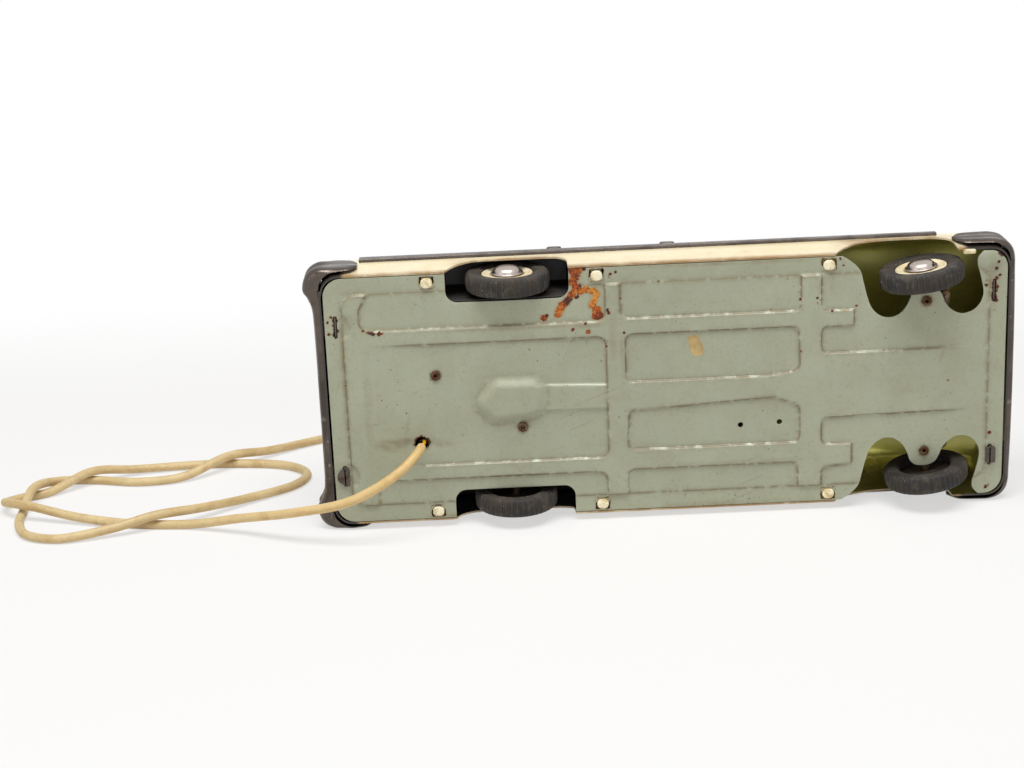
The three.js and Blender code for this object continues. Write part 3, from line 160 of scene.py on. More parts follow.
def turned(name, profile, steps, lay):
    """A turned piece from a profile of (radius, height); lay(u, v, h) gives a point in metres."""
    def place(i, j):
        radius, height = profile[j]
        angle = 2 * math.pi * (i % steps) / steps
        return lay(radius * math.cos(angle), radius * math.sin(angle), height)

    return skin(name, steps, len(profile) - 1, place)


def modify(obj, kind, **settings):
    """Adds one modifier to a piece and applies it."""
    take(obj)
    mod = obj.modifiers.new(kind.title(), kind)
    for key, value in settings.items():
        setattr(mod, key, value)
    bpy.ops.object.modifier_apply(modifier=mod.name)


def cut(obj, *cutters, operation="DIFFERENCE"):
    for cutter in cutters:
        modify(obj, "BOOLEAN", object=cutter, operation=operation, solver="EXACT")
        bpy.data.objects.remove(cutter, do_unlink=True)


def join(name, *objs):
    take(objs[0])
    for obj in objs[1:]:
        obj.select_set(True)
    bpy.ops.object.join()
    return named(name)


def round_edges(obj, width, segments=2, angle=35):
    modify(obj, "BEVEL", width=width * MM, segments=segments, limit_method="ANGLE",
           angle_limit=math.radians(angle), harden_normals=False)


def smooth(obj, angle=35):
    take(obj)
    bpy.ops.object.shade_smooth_by_angle(angle=math.radians(angle))


def copied(obj, name, matrix):
    """A copy with its own mesh, laid elsewhere."""
    twin = obj.copy()
    twin.data = obj.data.copy()
    bpy.context.collection.objects.link(twin)
    twin.name = name
    twin.data.name = name
    twin.data.transform(matrix)
    if matrix.determinant() < 0:
        twin.data.flip_normals()
    return twin


def mirrored(obj, name):
    """A copy on the other side of the car's middle plane."""
    middle = Matrix.Translation((0, 0, CAR.z * MM))
    return copied(obj, name, middle @ Matrix.Scale(-1, 4, (0, 0, 1)) @ middle.inverted())


def dress(obj, paint, body="car", stands_for=(), slot=None, angle=35):
    """Gives a piece its finish and its body, and hides the CAD nodes that it stands for."""
    smooth(obj, angle)
    if paint:
        obj.data.materials.clear()
        obj.data.materials.append(paint)
    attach(obj, body)
    if stands_for:
        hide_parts(*stands_for)


def softened(nodes, paint, slot, width=0.3, segments=2, body="car"):
    """Merged copies of plain CAD nodes, their edges rounded; without a body, each has its own."""
    for node in nodes.split():
        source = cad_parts[node]
        obj = source.copy()
        obj.data = source.data.copy()
        bpy.context.collection.objects.link(obj)
        obj.parent = None
        obj.hide_render = False
        obj.hide_viewport = False
        obj.name = node
        obj.data.name = node
        for key in list(obj.keys()):
            del obj[key]
        edit(obj, lambda: bpy.ops.mesh.remove_doubles(threshold=1e-6),
             lambda: bpy.ops.mesh.dissolve_limited(angle_limit=math.radians(2)))
        round_edges(obj, width, segments)
        dress(obj, paint, body or node, [node], slot)


def curve_through(points, spacing):
    """Even points along one smooth curve, centripetal as in the solid's route."""
    pts = [Vector(p) for p in points]
    pts = [2 * pts[0] - pts[1]] + pts + [2 * pts[-1] - pts[-2]]
    dense = []
    for a, b, c, d in zip(pts, pts[1:], pts[2:], pts[3:]):
        t0 = 0.0
        t1 = t0 + math.sqrt((b - a).length)
        t2 = t1 + math.sqrt((c - b).length)
        t3 = t2 + math.sqrt((d - c).length)
        for k in range(24):
            t = t1 + (t2 - t1) * k / 24
            ab = a * ((t1 - t) / (t1 - t0)) + b * ((t - t0) / (t1 - t0))
            bc = b * ((t2 - t) / (t2 - t1)) + c * ((t - t1) / (t2 - t1))
            cd = c * ((t3 - t) / (t3 - t2)) + d * ((t - t2) / (t3 - t2))
            abc = ab * ((t2 - t) / (t2 - t0)) + bc * ((t - t0) / (t2 - t0))
            bcd = bc * ((t3 - t) / (t3 - t1)) + cd * ((t - t1) / (t3 - t1))
            dense.append(abc * ((t2 - t) / (t2 - t1)) + bcd * ((t - t1) / (t2 - t1)))
    dense.append(pts[-2])
    total = sum((b - a).length for a, b in zip(dense, dense[1:]))
    count = max(2, round(total / spacing))
    even = [dense[0]]
    done, want, k = 0.0, total / count, 0
    while len(even) < count and k < len(dense) - 1:
        step = (dense[k + 1] - dense[k]).length
        if done + step >= want:
            even.append(dense[k].lerp(dense[k + 1], (want - done) / step))
            want += total / count
        else:
            done += step
            k += 1
    even.append(dense[-1])
    return even


def tube(name, path, radius, sides, twist=0.0, oval=0.0):
    """A round tube along a path in metres, with a turned, slightly oval jacket."""
    normal = Vector((0.3, 0.2, 1.0))
    frames = []
    for k, point in enumerate(path):
        ahead = path[min(k + 1, len(path) - 1)] - path[max(k - 1, 0)]
        ahead.normalize()
        normal = (normal - ahead * normal.dot(ahead)).normalized()
        frames.append((point, normal, ahead.cross(normal)))

    def place(i, j):
        point, one, two = frames[j]
        angle = 2 * math.pi * (i % sides) / sides
        reach = radius * (1 - oval + oval * math.cos(2 * (angle - twist * j)))
        return point + one * (reach * math.cos(angle)) + two * (reach * math.sin(angle))

    return skin(name, sides, len(path) - 1, place, close_holes)


# Nodes of a material


def scaled(tone, *shares):
    """A tone made lighter or darker, by one share or by one for each of its colours."""
    return [min(1.0, c * s) for c, s in zip(tone, shares * (3 // len(shares)))]


class Sketch:
    """Adds nodes to a tree and joins them."""

    def __init__(self, tree):
        self.tree = tree

    def feed(self, node, key, value):
        """Joins an input to another node, or gives it a plain value."""
        if isinstance(value, bpy.types.NodeSocket):
            self.tree.links.new(value, node.inputs[key])
        elif node.inputs[key].type == "RGBA":
            node.inputs[key].default_value = (*value[:3], 1)
        else:
            node.inputs[key].default_value = value

    def add(self, kind, values=None, **settings):
        node = self.tree.nodes.new(kind)
        for key, value in settings.items():
            setattr(node, key, value)
        for key, value in (values or {}).items():
            self.feed(node, key, value)
        return node

    def math(self, operation, a, b=0.0):
        return self.add("ShaderNodeMath", {0: a, 1: b}, operation=operation).outputs[0]

    def times(self, a, b):
        return self.math("MULTIPLY", a, b)

    def most(self, a, b):
        return self.math("MAXIMUM", a, b)

    def step(self, value, low, high):
        """A soft mask: 0 at low, 1 at high."""
        values = {"Value": value, "From Min": low, "From Max": high}
        return self.add("ShaderNodeMapRange", values, interpolation_type="SMOOTHSTEP").outputs[0]

    def mix(self, share, a, b):
        return self.add("ShaderNodeMix", {0: share, 6: a, 7: b}, data_type="RGBA").outputs[2]

    def blend(self, share, a, b):
        return self.add("ShaderNodeMix", {0: share, 2: a, 3: b}, data_type="FLOAT").outputs[0]

    def noise(self, vector, scale, detail=3.0, rough=0.5, distortion=0.0):
        values = {"Vector": vector, "Scale": scale, "Detail": detail, "Roughness": rough,
                  "Distortion": distortion}
        return self.add("ShaderNodeTexNoise", values).outputs["Fac"]

    def stretch(self, vector, scale, turn=(0.0, 0.0, 0.0)):
        values = {"Vector": vector, "Scale": scale, "Rotation": turn}
        return self.add("ShaderNodeMapping", values).outputs[0]

    def attribute(self, name):
        return self.add("ShaderNodeAttribute", attribute_name=name).outputs["Fac"]


FLOAT, VECTOR = "NodeSocketFloat", "NodeSocketVector"


def group(name, inputs):
    """A node group with named inputs and one mask, and the sketch that draws in it."""
    tree = bpy.data.node_groups.new(name, "ShaderNodeTree")
    for label, kind, default in inputs:
        socket = tree.interface.new_socket(label, in_out="INPUT", socket_type=kind)
        if default is not None:
            socket.default_value = default
    tree.interface.new_socket("Mask", in_out="OUTPUT", socket_type=FLOAT)
    sketch = Sketch(tree)
    entry = sketch.add("NodeGroupInput").outputs
    exit_ = sketch.add("NodeGroupOutput").inputs
    return sketch, entry, exit_


def specks_group():
    """Small scattered specks, thicker in some places."""
    inputs = [("Vector", VECTOR, None), ("Scale", FLOAT, 300.0), ("Amount", FLOAT, 0.3)]
    draw, entry, exit_ = group("specks", inputs)
    vector, scale = entry["Vector"], entry["Scale"]
    wobble = draw.noise(vector, draw.times(scale, 2.0), 2.0)
    values = {"Vector": vector, "Scale": scale, "Randomness": 1.0}
    cell = draw.add("ShaderNodeTexVoronoi", values).outputs["Distance"]
    where = draw.noise(vector, draw.times(scale, 0.12), 3.0, 0.6)
    reach = draw.times(draw.math("ADD", where, -0.32), entry["Amount"])
    near = draw.math("ADD", cell, draw.times(wobble, 0.25))
    edge = draw.math("SUBTRACT", draw.math("ADD", reach, 0.12), near)
    draw.tree.links.new(draw.step(edge, -0.02, 0.06), exit_["Mask"])


def scratches_group():
    """Fine scratches in two directions."""
    inputs = [("Vector", VECTOR, None), ("Scale", FLOAT, 60.0), ("Amount", FLOAT, 0.5)]
    draw, entry, exit_ = group("scratches", inputs)
    masks = []
    for turn, long in ((0.35, 0.05), (1.3, 0.08)):
        path = draw.stretch(entry["Vector"], (1.0, 1.0, 1.0), (0.0, turn, 0.0))
        path = draw.stretch(path, (long, 1.0, 1.0))
        line = draw.noise(path, draw.times(entry["Scale"], 9.0), 1.0, 0.4, 0.3)
        gate = draw.noise(entry["Vector"], entry["Scale"], 2.0)
        masks.append(draw.times(draw.step(line, 0.69, 0.74), draw.step(gate, 0.5, 0.62)))
    draw.tree.links.new(draw.times(draw.most(*masks), entry["Amount"]), exit_["Mask"])


def patches_group():
    """Slow clouds of tone, for stain and uneven paint."""
    inputs = [("Vector", VECTOR, None), ("Scale", FLOAT, 30.0), ("Low", FLOAT, 0.4),
              ("High", FLOAT, 0.7)]
    draw, entry, exit_ = group("patches", inputs)
    cloud = draw.noise(entry["Vector"], entry["Scale"], 6.0, 0.62, 0.6)
    draw.tree.links.new(draw.step(cloud, entry["Low"], entry["High"]), exit_["Mask"])


class Finish(Sketch):
    """One material with a Principled shader, whose base colour is laid tone over tone."""

    def __init__(self, name, metal=0.0, **constants):
        self.material = bpy.data.materials.new(name)
        self.material.use_nodes = True
        super().__init__(self.material.node_tree)
        self.shader = self.tree.nodes["Principled BSDF"]
        self.shader.inputs["Metallic"].default_value = metal
        for key, value in constants.items():
            self.shader.inputs[key.replace("_", " ")].default_value = value
        self.where = self.add("ShaderNodeTexCoord").outputs["Object"]
        self.base = None

    def use(self, name, **values):
        """The mask of one of the shared groups."""
        values["Vector"] = self.where
        node = self.add("ShaderNodeGroup", values, node_tree=bpy.data.node_groups[name])
        return node.outputs["Mask"]

    def cloud(self, scale, low, high):
        return self.use("patches", Scale=scale, Low=low, High=high)

    def dots(self, scale, amount):
        return self.use("specks", Scale=scale, Amount=amount)

    def marks(self, scale, amount):
        return self.use("scratches", Scale=scale, Amount=amount)

    def grain(self, scale, detail=3.0, rough=0.5):
        return self.noise(self.where, scale, detail, rough)

    def car_place(self):
        """The car's x and height, and the distance from its middle plane, in millimetres."""
        moved = self.add("ShaderNodeVectorMath", {0: self.where, 1: CAR * MM},
                         operation="SUBTRACT").outputs[0]
        large = self.add("ShaderNodeVectorMath", {0: moved, "Scale": 1 / MM},
                         operation="SCALE").outputs[0]
        parts = self.add("ShaderNodeSeparateXYZ", {0: large}).outputs
        return parts["X"], parts["Y"], self.math("ABSOLUTE", parts["Z"])

    def over(self, mask, share, tone):
        """Lays a share of a tone over the base colour where the mask says."""
        mask = mask if share == 1 else self.times(mask, share)
        self.base = self.mix(mask, self.base, tone)

    def bump(self, height, strength, distance):
        values = {"Height": height, "Strength": strength, "Distance": distance * MM}
        node = self.add("ShaderNodeBump", values)
        links = self.shader.inputs["Normal"].links
        if links:
            self.tree.links.new(links[0].from_socket, node.inputs["Normal"])
        self.tree.links.new(node.outputs[0], self.shader.inputs["Normal"])

    def done(self, rough, *bumps):
        """Joins the base colour, the roughness and bumps of (height, strength, distance)."""
        self.feed(self.shader, "Base Color", self.base)
        self.feed(self.shader, "Roughness", rough)
        for bump in bumps:
            self.bump(*bump)
        return self.material


def clouded(name, cloud, tones, rough, bump, dots=None, **settings):
    """A finish of two clouded tones.

    The bump is (scale, detail, strength, distance) and the dots (scale, amount, share, tone).
    """
    draw = Finish(name, **settings)
    mask = draw.cloud(*cloud)
    draw.base = draw.mix(mask, *tones)
    if dots:
        draw.over(draw.dots(*dots[:2]), *dots[2:])
    return draw.done(draw.blend(mask, *rough), (draw.grain(*bump[:2]), *bump[2:]))


# Sizes and colours that a user would change


class SaloonSizes(bpy.types.PropertyGroup):
    cord_diameter: bpy.props.FloatProperty(
        name="Cord diameter", description="Outside of the cord's jacket", default=0.0042,
        min=0.003, max=0.006, unit="LENGTH", precision=5)
    press_depth: bpy.props.FloatProperty(
        name="Press depth", description="How far the plate's panels are pressed in",
        default=0.001, min=0.0005, max=0.002, unit="LENGTH", precision=5)
    tread_ribs: bpy.props.IntProperty(
        name="Tread ribs", description="Ribs across each tyre's tread", default=46, min=24,
        max=72)
    floor_half: bpy.props.FloatProperty(
        name="Floor half width", description="How far the floor reaches", default=12.0,
        min=2.0, max=30.0, unit="LENGTH")


def tint(name, text, color):
    return bpy.props.FloatVectorProperty(
        name=name, description=text, subtype="COLOR", size=3, min=0.0, max=1.0, default=color)


class SaloonColors(bpy.types.PropertyGroup):
    plate: tint("Plate", "Lacquer of the base plate", ink(165, 169, 145))
    body: tint("Body", "Enamel of the body", ink(244, 233, 200))
    lacquer: tint("Lacquer", "Inside of the body", ink(228, 220, 104))
    plating: tint("Plating", "Bumpers and trim", ink(84, 76, 70))
    rust: tint("Rust", "Rust on the plate", ink(170, 82, 6))
    # Brown of the fold lines, for grime and painted shade.
    grime_and_shade: tint("Grime", "Worn lines along the ribs", ink(104, 84, 50))
    rubber: tint("Rubber", "Tyres", ink(38, 37, 37))
    cord: tint("Cord", "Jacket of the cord", ink(205, 180, 132))
    handset: tint("Handset", "Case of the handset", ink(222, 208, 172))


def sizes():
    return bpy.context.scene.saloon_sizes


def colors():
    return bpy.context.scene.saloon_colors


# Stage

EYE = Vector((-0.0729, -0.8682, 0.3325))
YAW = math.radians(0.54)
PITCH = math.radians(17.5)
ROLL = math.radians(-2.45)
FOCUS_PIXELS = 2080
IMAGE_WIDTH = 1024
SENSOR = 36


def white_floor():
    """A pale floor that keeps its shadows and looks white to the camera."""
    draw = Finish("pale_floor")
    draw.base = draw.mix(draw.grain(3, 2), (0.8, 0.785, 0.76), (0.83, 0.815, 0.79))
    draw.done(0.9)
    glow = draw.add("ShaderNodeEmission", {"Color": (1, 1, 1), "Strength": 1.0})
    rays = draw.add("ShaderNodeLightPath").outputs
    seen = draw.most(rays["Is Camera Ray"], rays["Is Glossy Ray"])
    away = draw.add("ShaderNodeVectorMath", {0: draw.where}, operation="LENGTH").outputs["Value"]
    behind = draw.step(draw.add("ShaderNodeSeparateXYZ", {0: draw.where}).outputs["Y"], 0.15, 0.4)
    clear = draw.most(draw.step(away, 0.34, 0.8), behind)
    share = draw.times(seen, draw.blend(clear, 0.58, 1.0))
    both = draw.add("ShaderNodeMixShader",
                    {0: share, 1: draw.shader.outputs[0], 2: glow.outputs[0]})
    draw.feed(draw.tree.nodes["Material Output"], "Surface", both.outputs[0])
    return draw.material


def lamp(name, place, aim, width, height, watts):
    data = bpy.data.lights.new(name, "AREA")
    data.shape = "RECTANGLE"
    data.size = width
    data.size_y = height
    data.energy = watts
    obj = bpy.data.objects.new(name, data)
    bpy.context.collection.objects.link(obj)
    obj.location = place
    obj.rotation_mode = "QUATERNION"
    obj.rotation_quaternion = (Vector(aim) - Vector(place)).to_track_quat("-Z", "Y")


class SALOON_OT_stage(bpy.types.Operator):
    """Lay the floor, the lights and the camera"""

    bl_idname = "saloon.stage"
    bl_label = "Stage"

    def execute(self, context):
        deselect()
        bpy.ops.mesh.primitive_plane_add(size=2 * sizes().floor_half)
        floor = named("floor")
        edit(floor, lambda: bpy.ops.mesh.subdivide(number_cuts=4))
        floor.data.materials.append(white_floor())
        lamp("top_softbox", (-0.1, -0.45, 1.5), (-0.05, 0, 0.03), 1.3, 0.7, 23)
        lamp("front_softbox", (0.5, -1.9, 0.9), (-0.05, 0, 0.05), 1.6, 1.2, 4.2)
        lamp("side_softbox", (-1.5, -0.9, 0.9), (-0.05, 0, 0.05), 1.0, 1.0, 2.2)
        world = bpy.data.worlds.new("plain_world")
        bpy.context.scene.world = world
        world.use_nodes = True
        draw = Sketch(world.node_tree)
        world.node_tree.nodes.clear()
        rays = draw.add("ShaderNodeLightPath").outputs
        seen = draw.most(rays["Is Camera Ray"], rays["Is Glossy Ray"])
        seen = draw.most(seen, rays["Is Transmission Ray"])
        level = draw.blend(seen, 0.23, 1.0)
        sky = draw.add("ShaderNodeBackground", {"Color": (1, 1, 1), "Strength": level})
        draw.add("ShaderNodeOutputWorld", {"Surface": sky.outputs[0]})
        bpy.context.scene.view_settings.view_transform = "Standard"
        self.camera()
        return {"FINISHED"}

    def camera(self):
        data = bpy.data.cameras.new("camera")
        data.sensor_width = SENSOR
        data.sensor_fit = "HORIZONTAL"
        data.lens = FOCUS_PIXELS / IMAGE_WIDTH * SENSOR
        data.clip_start, data.clip_end = 0.05, 60
        obj = bpy.data.objects.new("camera", data)
        bpy.context.collection.objects.link(obj)
        level = math.cos(PITCH)
        ahead = Vector((math.sin(YAW) * level, math.cos(YAW) * level, -math.sin(PITCH)))
        side = Vector((math.cos(YAW), -math.sin(YAW), 0))
        over = side.cross(ahead)
        right = side * math.cos(ROLL) + over * math.sin(ROLL)
        up = over * math.cos(ROLL) - side * math.sin(ROLL)
        turn = Matrix((right, up, -ahead)).transposed()
        obj.matrix_world = Matrix.Translation(EYE) @ turn.to_4x4()
        bpy.context.scene.camera = obj


# Cord

CORD_ROUTE = [
    (-104.7, -19.6, 39), (-105.5, -23.7, 38.7), (-108, -29, 37.2), (-113.9, -34, 32.9),
    (-122.7, -35.9, 27.4), (-137.7, -35.4, 20.2), (-160.7, -28.1, 14), (-186.7, -14.6, 7.4),
    (-209.7, -5.6, 2.3), (-236.7, -1.1, 2.1), (-262.7, 7.4, 3.4), (-282, 13.6, 6.6),
    (-291.1, 17.7, 7), (-297.2, 24.2, 5.5), (-297.9, 31.6, 3.2), (-293.4, 38.5, 2.1),
    (-281.4, 44.4, 2.3), (-263.7, 58.3, 6.6), (-245.7, 68.9, 3.1), (-205.7, 73.8, 2.1),
    (-172.7, 66.9, 2.1), (-162.2, 54, 2.1), (-166.2, 40.4, 2.1), (-188.7, 21.4, 3),
    (-207.7, 5.9, 5.3), (-224.7, -4, 6.7), (-244.7, -11, 3.8), (-266.7, -15.6, 2.1),
    (-281.2, -9.4, 2.1), (-287.7, 5.4, 2.1), (-288.7, 20.4, 2.2), (-287, 38.4, 6.9),
    (-279.2, 53.9, 4.2), (-263.7, 58.9, 2.1), (-240.7, 53.4, 2.1), (-220.7, 56.4, 2.7),
    (-200.7, 71, 6.8), (-182.7, 86.4, 3.4), (-159.7, 102.9, 2.1), (-134.7, 114.4, 2.4),
    (-107.7, 118.6, 5.4), (-86.7, 119.4, 9.4), (-72.6, 119.4, 10.4),
]
CORE_ROUTES = {
    "yellow": [(-40.6, -7.4, -20.2), (-39.5, -3.4, -19.8), (-38.9, -0.6, -19.4),
               (-39.1, 4.6, -19.8), (-30, 13.4, -28.5), (-4, 18, -39.2), (6, 18, -39),
               (8.6, 18.4, -35.4)],
    "dark": [(-41.6, -7, -20.6), (-40.9, -2.4, -20.6), (-40.9, 4.6, -20.8), (-31, 10, -30),
             (-6, 13, -39.2), (6, 13, -39), (8.6, 13, -35.4)],
}
CORD_SIDES = 16
CORD_TWIST = 0.035


def cord_jacket():
    """Old soft plastic, yellower near the plate, with faint streaks and stains."""
    draw = Finish("cord_jacket", Subsurface_Weight=0.08)
    tone = colors().cord
    cloud = draw.cloud(70, 0.38, 0.66)
    streak = draw.attribute("streak")
    draw.base = draw.mix(cloud, tone, scaled(tone, 1.16, 1.18, 1.26))
    draw.over(draw.cloud(150, 0.5, 0.72), 0.4, ink(168, 128, 74))
    draw.over(draw.attribute("near_plate"), 0.5, ink(226, 182, 106))
    draw.over(streak, 0.7, scaled(tone, 0.72, 0.6, 0.42))
    draw.over(draw.dots(520, 0.42), 0.7, ink(118, 82, 44))
    return draw.done(draw.blend(cloud, 0.42, 0.58), (draw.grain(900), 0.25, 0.15),
                     (streak, 0.3, 0.12))


class SALOON_OT_cord(bpy.types.Operator):
    """Lay the free cord and its two cores"""

    bl_idname = "saloon.cord"
    bl_label = "Cord"

    def execute(self, context):
        radius = sizes().cord_diameter / 2
        path = curve_through([metres(*p) for p in CORD_ROUTE], 0.0012)
        jacket = tube("cord", path[2:], radius, CORD_SIDES, CORD_TWIST, oval=0.02)
        self.mark(jacket, len(path))
        dress(jacket, cord_jacket(), stands_for=["cord"], slot="cord_plastic", angle=60)
        length = sum((b - a).length for a, b in zip(path, path[1:]))
        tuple(path[0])
        for name, color in (("yellow", ink(236, 172, 22)), ("dark", ink(44, 38, 36))):
            route = curve_through([at(*p) for p in CORE_ROUTES[name]], 0.0016)
            core = tube(f"lead_core_{name}", route, 0.00075, 12)
            paint = clouded(f"{name}_core", (120, 0.35, 0.7), (color, scaled(color, 0.62)),
                            (0.32, 0.5), (1500, 2, 0.2, 0.05))
            dress(core, paint, stands_for=[f"lead_core_{name}"], slot=f"{name}_core", angle=60)
        return {"FINISHED"}

    def mark(self, jacket, rows):
        """Streaks along the jacket, and how near a point is to the plate."""
        streak = jacket.data.attributes.new("streak", "FLOAT", "POINT")
        near = jacket.data.attributes.new("near_plate", "FLOAT", "POINT")
        for k in range(len(jacket.data.vertices)):
            i, j = k % CORD_SIDES, min(k // CORD_SIDES, rows - 1)
            angle = 2 * math.pi * i / CORD_SIDES - CORD_TWIST * j
            line = max(0.0, math.cos(angle)) ** 6 + 0.7 * max(0.0, math.cos(angle + 2.6)) ** 6
            streak.data[k].value = line * (0.5 + noise.noise(Vector((j * 0.05, 7, 3))))
            near.data[k].value = max(0.0, 1 - j / 110)


# Base plate

PLATE_FIELD = ([(-71.2, -47.5), (205, -47.5), (205, 47.5), (-71.2, 47.5)], 7)
PLATE_PANELS = [
    ([(47.4, 32), (124.5, 32), (124.5, 53), (47.4, 53)], 3),
    ([(49, 3.6), (108.9, 3.6), (124, 5.6), (123.5, 25.2), (49, 25.2)], 3.4),
    ([(49, -27.2), (123.8, -27.2), (123.8, -10.6), (112.5, -5.9), (83.7, -7.4), (49.9, -9.2)], 3),
    ([(49, -53), (123, -53), (123, -36), (49, -36)], 3),
    ([(133, 31.6), (160, 31.6), (160, 53), (133, 53)], 3),
    ([(147, 12.6), (215, 12.6), (215, 53), (147, 53)], 3),
    ([(133, 12.6), (160, 12.6), (160, 24.6), (133, 24.6)], 3),
    ([(133, -28.8), (160, -28.5), (160, -15.8), (133, -16.4)], 3),
    ([(146.3, -53), (215, -53), (215, -15.1), (146.3, -16)], 3),
    ([(133, -53), (160, -53), (160, -36.2), (133, -39.3)], 3),
    ([(176, -33), (215, -33), (215, 33), (176, 33)], 3, 180, 199),
    ([(-64, 31.3), (41, 31.3), (41, 53), (-57.5, 53), (-64, 40.5)], 4),
    ([(-64, -30), (41, -30), (41, 24.6), (-64, 24.6)], 4, -62, -34),
    ([(-60, -53), (40, -53), (40, -36.4), (-60, -36.4)], 4),
]
PLATE_BULGE = ([(-15.4, -5.6), (-14.9, -1.2), (-8.2, 7.8), (10.6, 7.4), (14.4, 4), (14.4, -7),
                (8, -10.6), (-8.8, -12)], 5)
PLATE_NECK = ([(0, -7.4), (45, -7.7), (45, 3), (0, 4.6)], 1.5)
FRONT_CUT = [
    (138.8, 60), (140.8, 55.6), (145.8, 52.3), (149.4, 48.6), (150.9, 43.4), (152.5, 37.1),
    (154.5, 31.8), (157.6, 28.5), (161.1, 27.1), (165.1, 27.7), (168.6, 30.6), (170.8, 34.6),
    (172, 38), (174, 40), (176.8, 40.6), (180, 40.3), (182.8, 38.9), (184.5, 36.2), (186.1, 32.4),
    (189.2, 29.1), (192.8, 27.5), (197.3, 28.2), (200.7, 31.2), (202.3, 35.8), (200.8, 44.1),
    (199.5, 48.8), (199.6, 51.8), (201.6, 54.3), (204, 56), (205, 60),
]
# Rust on the plate: x, z, radius and tone from pale (0) to nearly black (1)
RUST = [
    (27.4, 54.4, 1.7, 0.6), (30.2, 54, 1.7, 0.5), (28.5, 51.2, 2.1, 0.5), (27.5, 49.3, 2, 0.45),
    (28.7, 46.7, 2, 0.5), (30.2, 45, 1.9, 0.3), (27, 43.5, 1.7, 0.4), (26.1, 42, 1.5, 0.7),
    (24.5, 40.4, 1.8, 1), (30.3, 46.9, 0.9, 1), (29.2, 42.3, 0.9, 1), (22.9, 39.2, 1.8, 0.35),
    (21.8, 37, 1.9, 0.3), (20.8, 35.1, 1.6, 0.35), (14.6, 33.8, 1.5, 0.5), (15.9, 34.7, 1.1, 0.9),
    (33.3, 45.5, 1.7, 0.3), (35.8, 44.7, 1.7, 0.1), (37.3, 43.1, 1.7, 0.05),
    (36.3, 40.5, 1.8, 0.1),
    (35.6, 38.6, 1.8, 0.2), (37.4, 36.3, 2.2, 0.4), (38.3, 34, 1.8, 0.7), (36.7, 33.4, 1.7, 0.5),
    (41.8, 36.4, 0.8, 1), (42.4, 35.1, 0.9, 1), (45.6, 52.6, 0.7, 1), (43.5, 51.8, 0.7, 0.9),
    (42.8, 50.5, 0.5, 0.9), (32.3, 30.7, 0.7, 1), (33.4, 27.1, 1.2, 0.6), (26.9, 28.3, 0.9, 0.7),
    (25, 54.4, 1, 1), (32.6, 54.6, 0.8, 1), (208.8, 53.4, 0.9, 0.9), (209.9, 52.4, 0.8, 0.9),
    (208.2, 49.6, 0.7, 0.9), (207.5, 46.7, 0.8, 0.8), (203.9, 41.6, 0.8, 0.9),
    (203.7, 39.4, 0.9, 1),
    (207.6, 42.4, 0.8, 0.9), (208.1, 38.4, 0.8, 0.8), (207.9, 32.6, 0.9, 0.8),
    (208.9, 43.6, 0.7, 0.9), (-62.2, 31.8, 0.7, 0.8), (-60.3, 30.9, 0.9, 0.9),
    (-58.1, 30.4, 1, 1), (-55.6, 30.3, 1, 0.9), (-53.6, 30.4, 0.6, 0.7), (-77.1, 35.9, 0.7, 0.8),
    (-76.6, 30.7, 0.8, 0.8), (-75.8, 38.2, 0.6, 0.9), (-71.2, 19.9, 0.6, 0.7),
    (-71.2, 8, 0.5, 0.8), (-71.2, 1, 0.5, 0.8), (-71.2, -12, 0.5, 0.8), (-40, -16.7, 0.6, 0.9),
    (-43, -18, 0.6, 0.8), (-36.6, -19.6, 0.6, 0.9), (-37.4, -22.4, 0.6, 1), (131, 37.4, 0.6, 1),
    (131.6, 35, 0.5, 0.9), (137.5, 31.3, 0.6, 0.9), (143, 31.3, 0.7, 0.9), (148, 33, 0.5, 0.7),
    (141, 54, 0.6, 1), (141.8, 52.6, 0.6, 0.9), (142.6, 51, 0.5, 0.8), (186.4, 33.6, 0.9, 0.9),
    (47.4, 41, 0.5, 0.8), (41, 20, 0.6, 0.7), (48.7, 26, 0.6, 0.8), (64, 47.6, 0.5, 0.9),
    (112, 33, 0.6, 0.8), (124, 37, 0.6, 0.8), (124.2, 14, 0.5, 0.8), (188, -2, 0.5, 0.7),
    (206.5, -27, 0.8, 0.8), (205.3, -52, 0.9, 0.9), (206.6, -50.6, 0.6, 0.9),
]
# Brown smudges: x, z, half length, half width, strength
SMUDGES = [
    (-54, -20.4, 8, 3.4, 0.85), (-47, -18.4, 7, 1.6, 0.8), (-33, -20.8, 7, 1.5, 0.55),
    (-69, 36, 4, 4.5, 0.4), (-71.5, 4, 1.6, 30, 0.5), (-62, -4, 2, 26, 0.35), (44, 30, 2, 24, 0.4),
    (-66, 48, 10, 2, 0.3), (47.5, 14, 1.4, 12, 0.35), (206.6, 42, 3.4, 12, 0.5),
    (138, 46, 1.4, 8, 0.3), (0, 30.2, 36, 0.8, 0.6), (100, -34.5, 40, 1, 0.3),
    (-24, -54, 20, 1.4, 0.5), (90, 54.2, 44, 0.9, 0.6), (90, -54.2, 44, 0.9, 0.55),
    (6.5, 26.6, 4, 1.4, 0.3), (33, 30, 9, 1.5, 0.5), (170, -3, 12, 6, 0.12),
]
TAB_PLACES = (-34.35, 37.56, 136.2)
BRACKET_RIVETS = ((-32.6, 10.4), (4, -14.5))
CORD_HOLE = (-40, -20)
# The slots that fix each bumper: x and distance from the middle
FIXINGS = {"rear": (-74, 33.7), "front": (206.8, 37)}


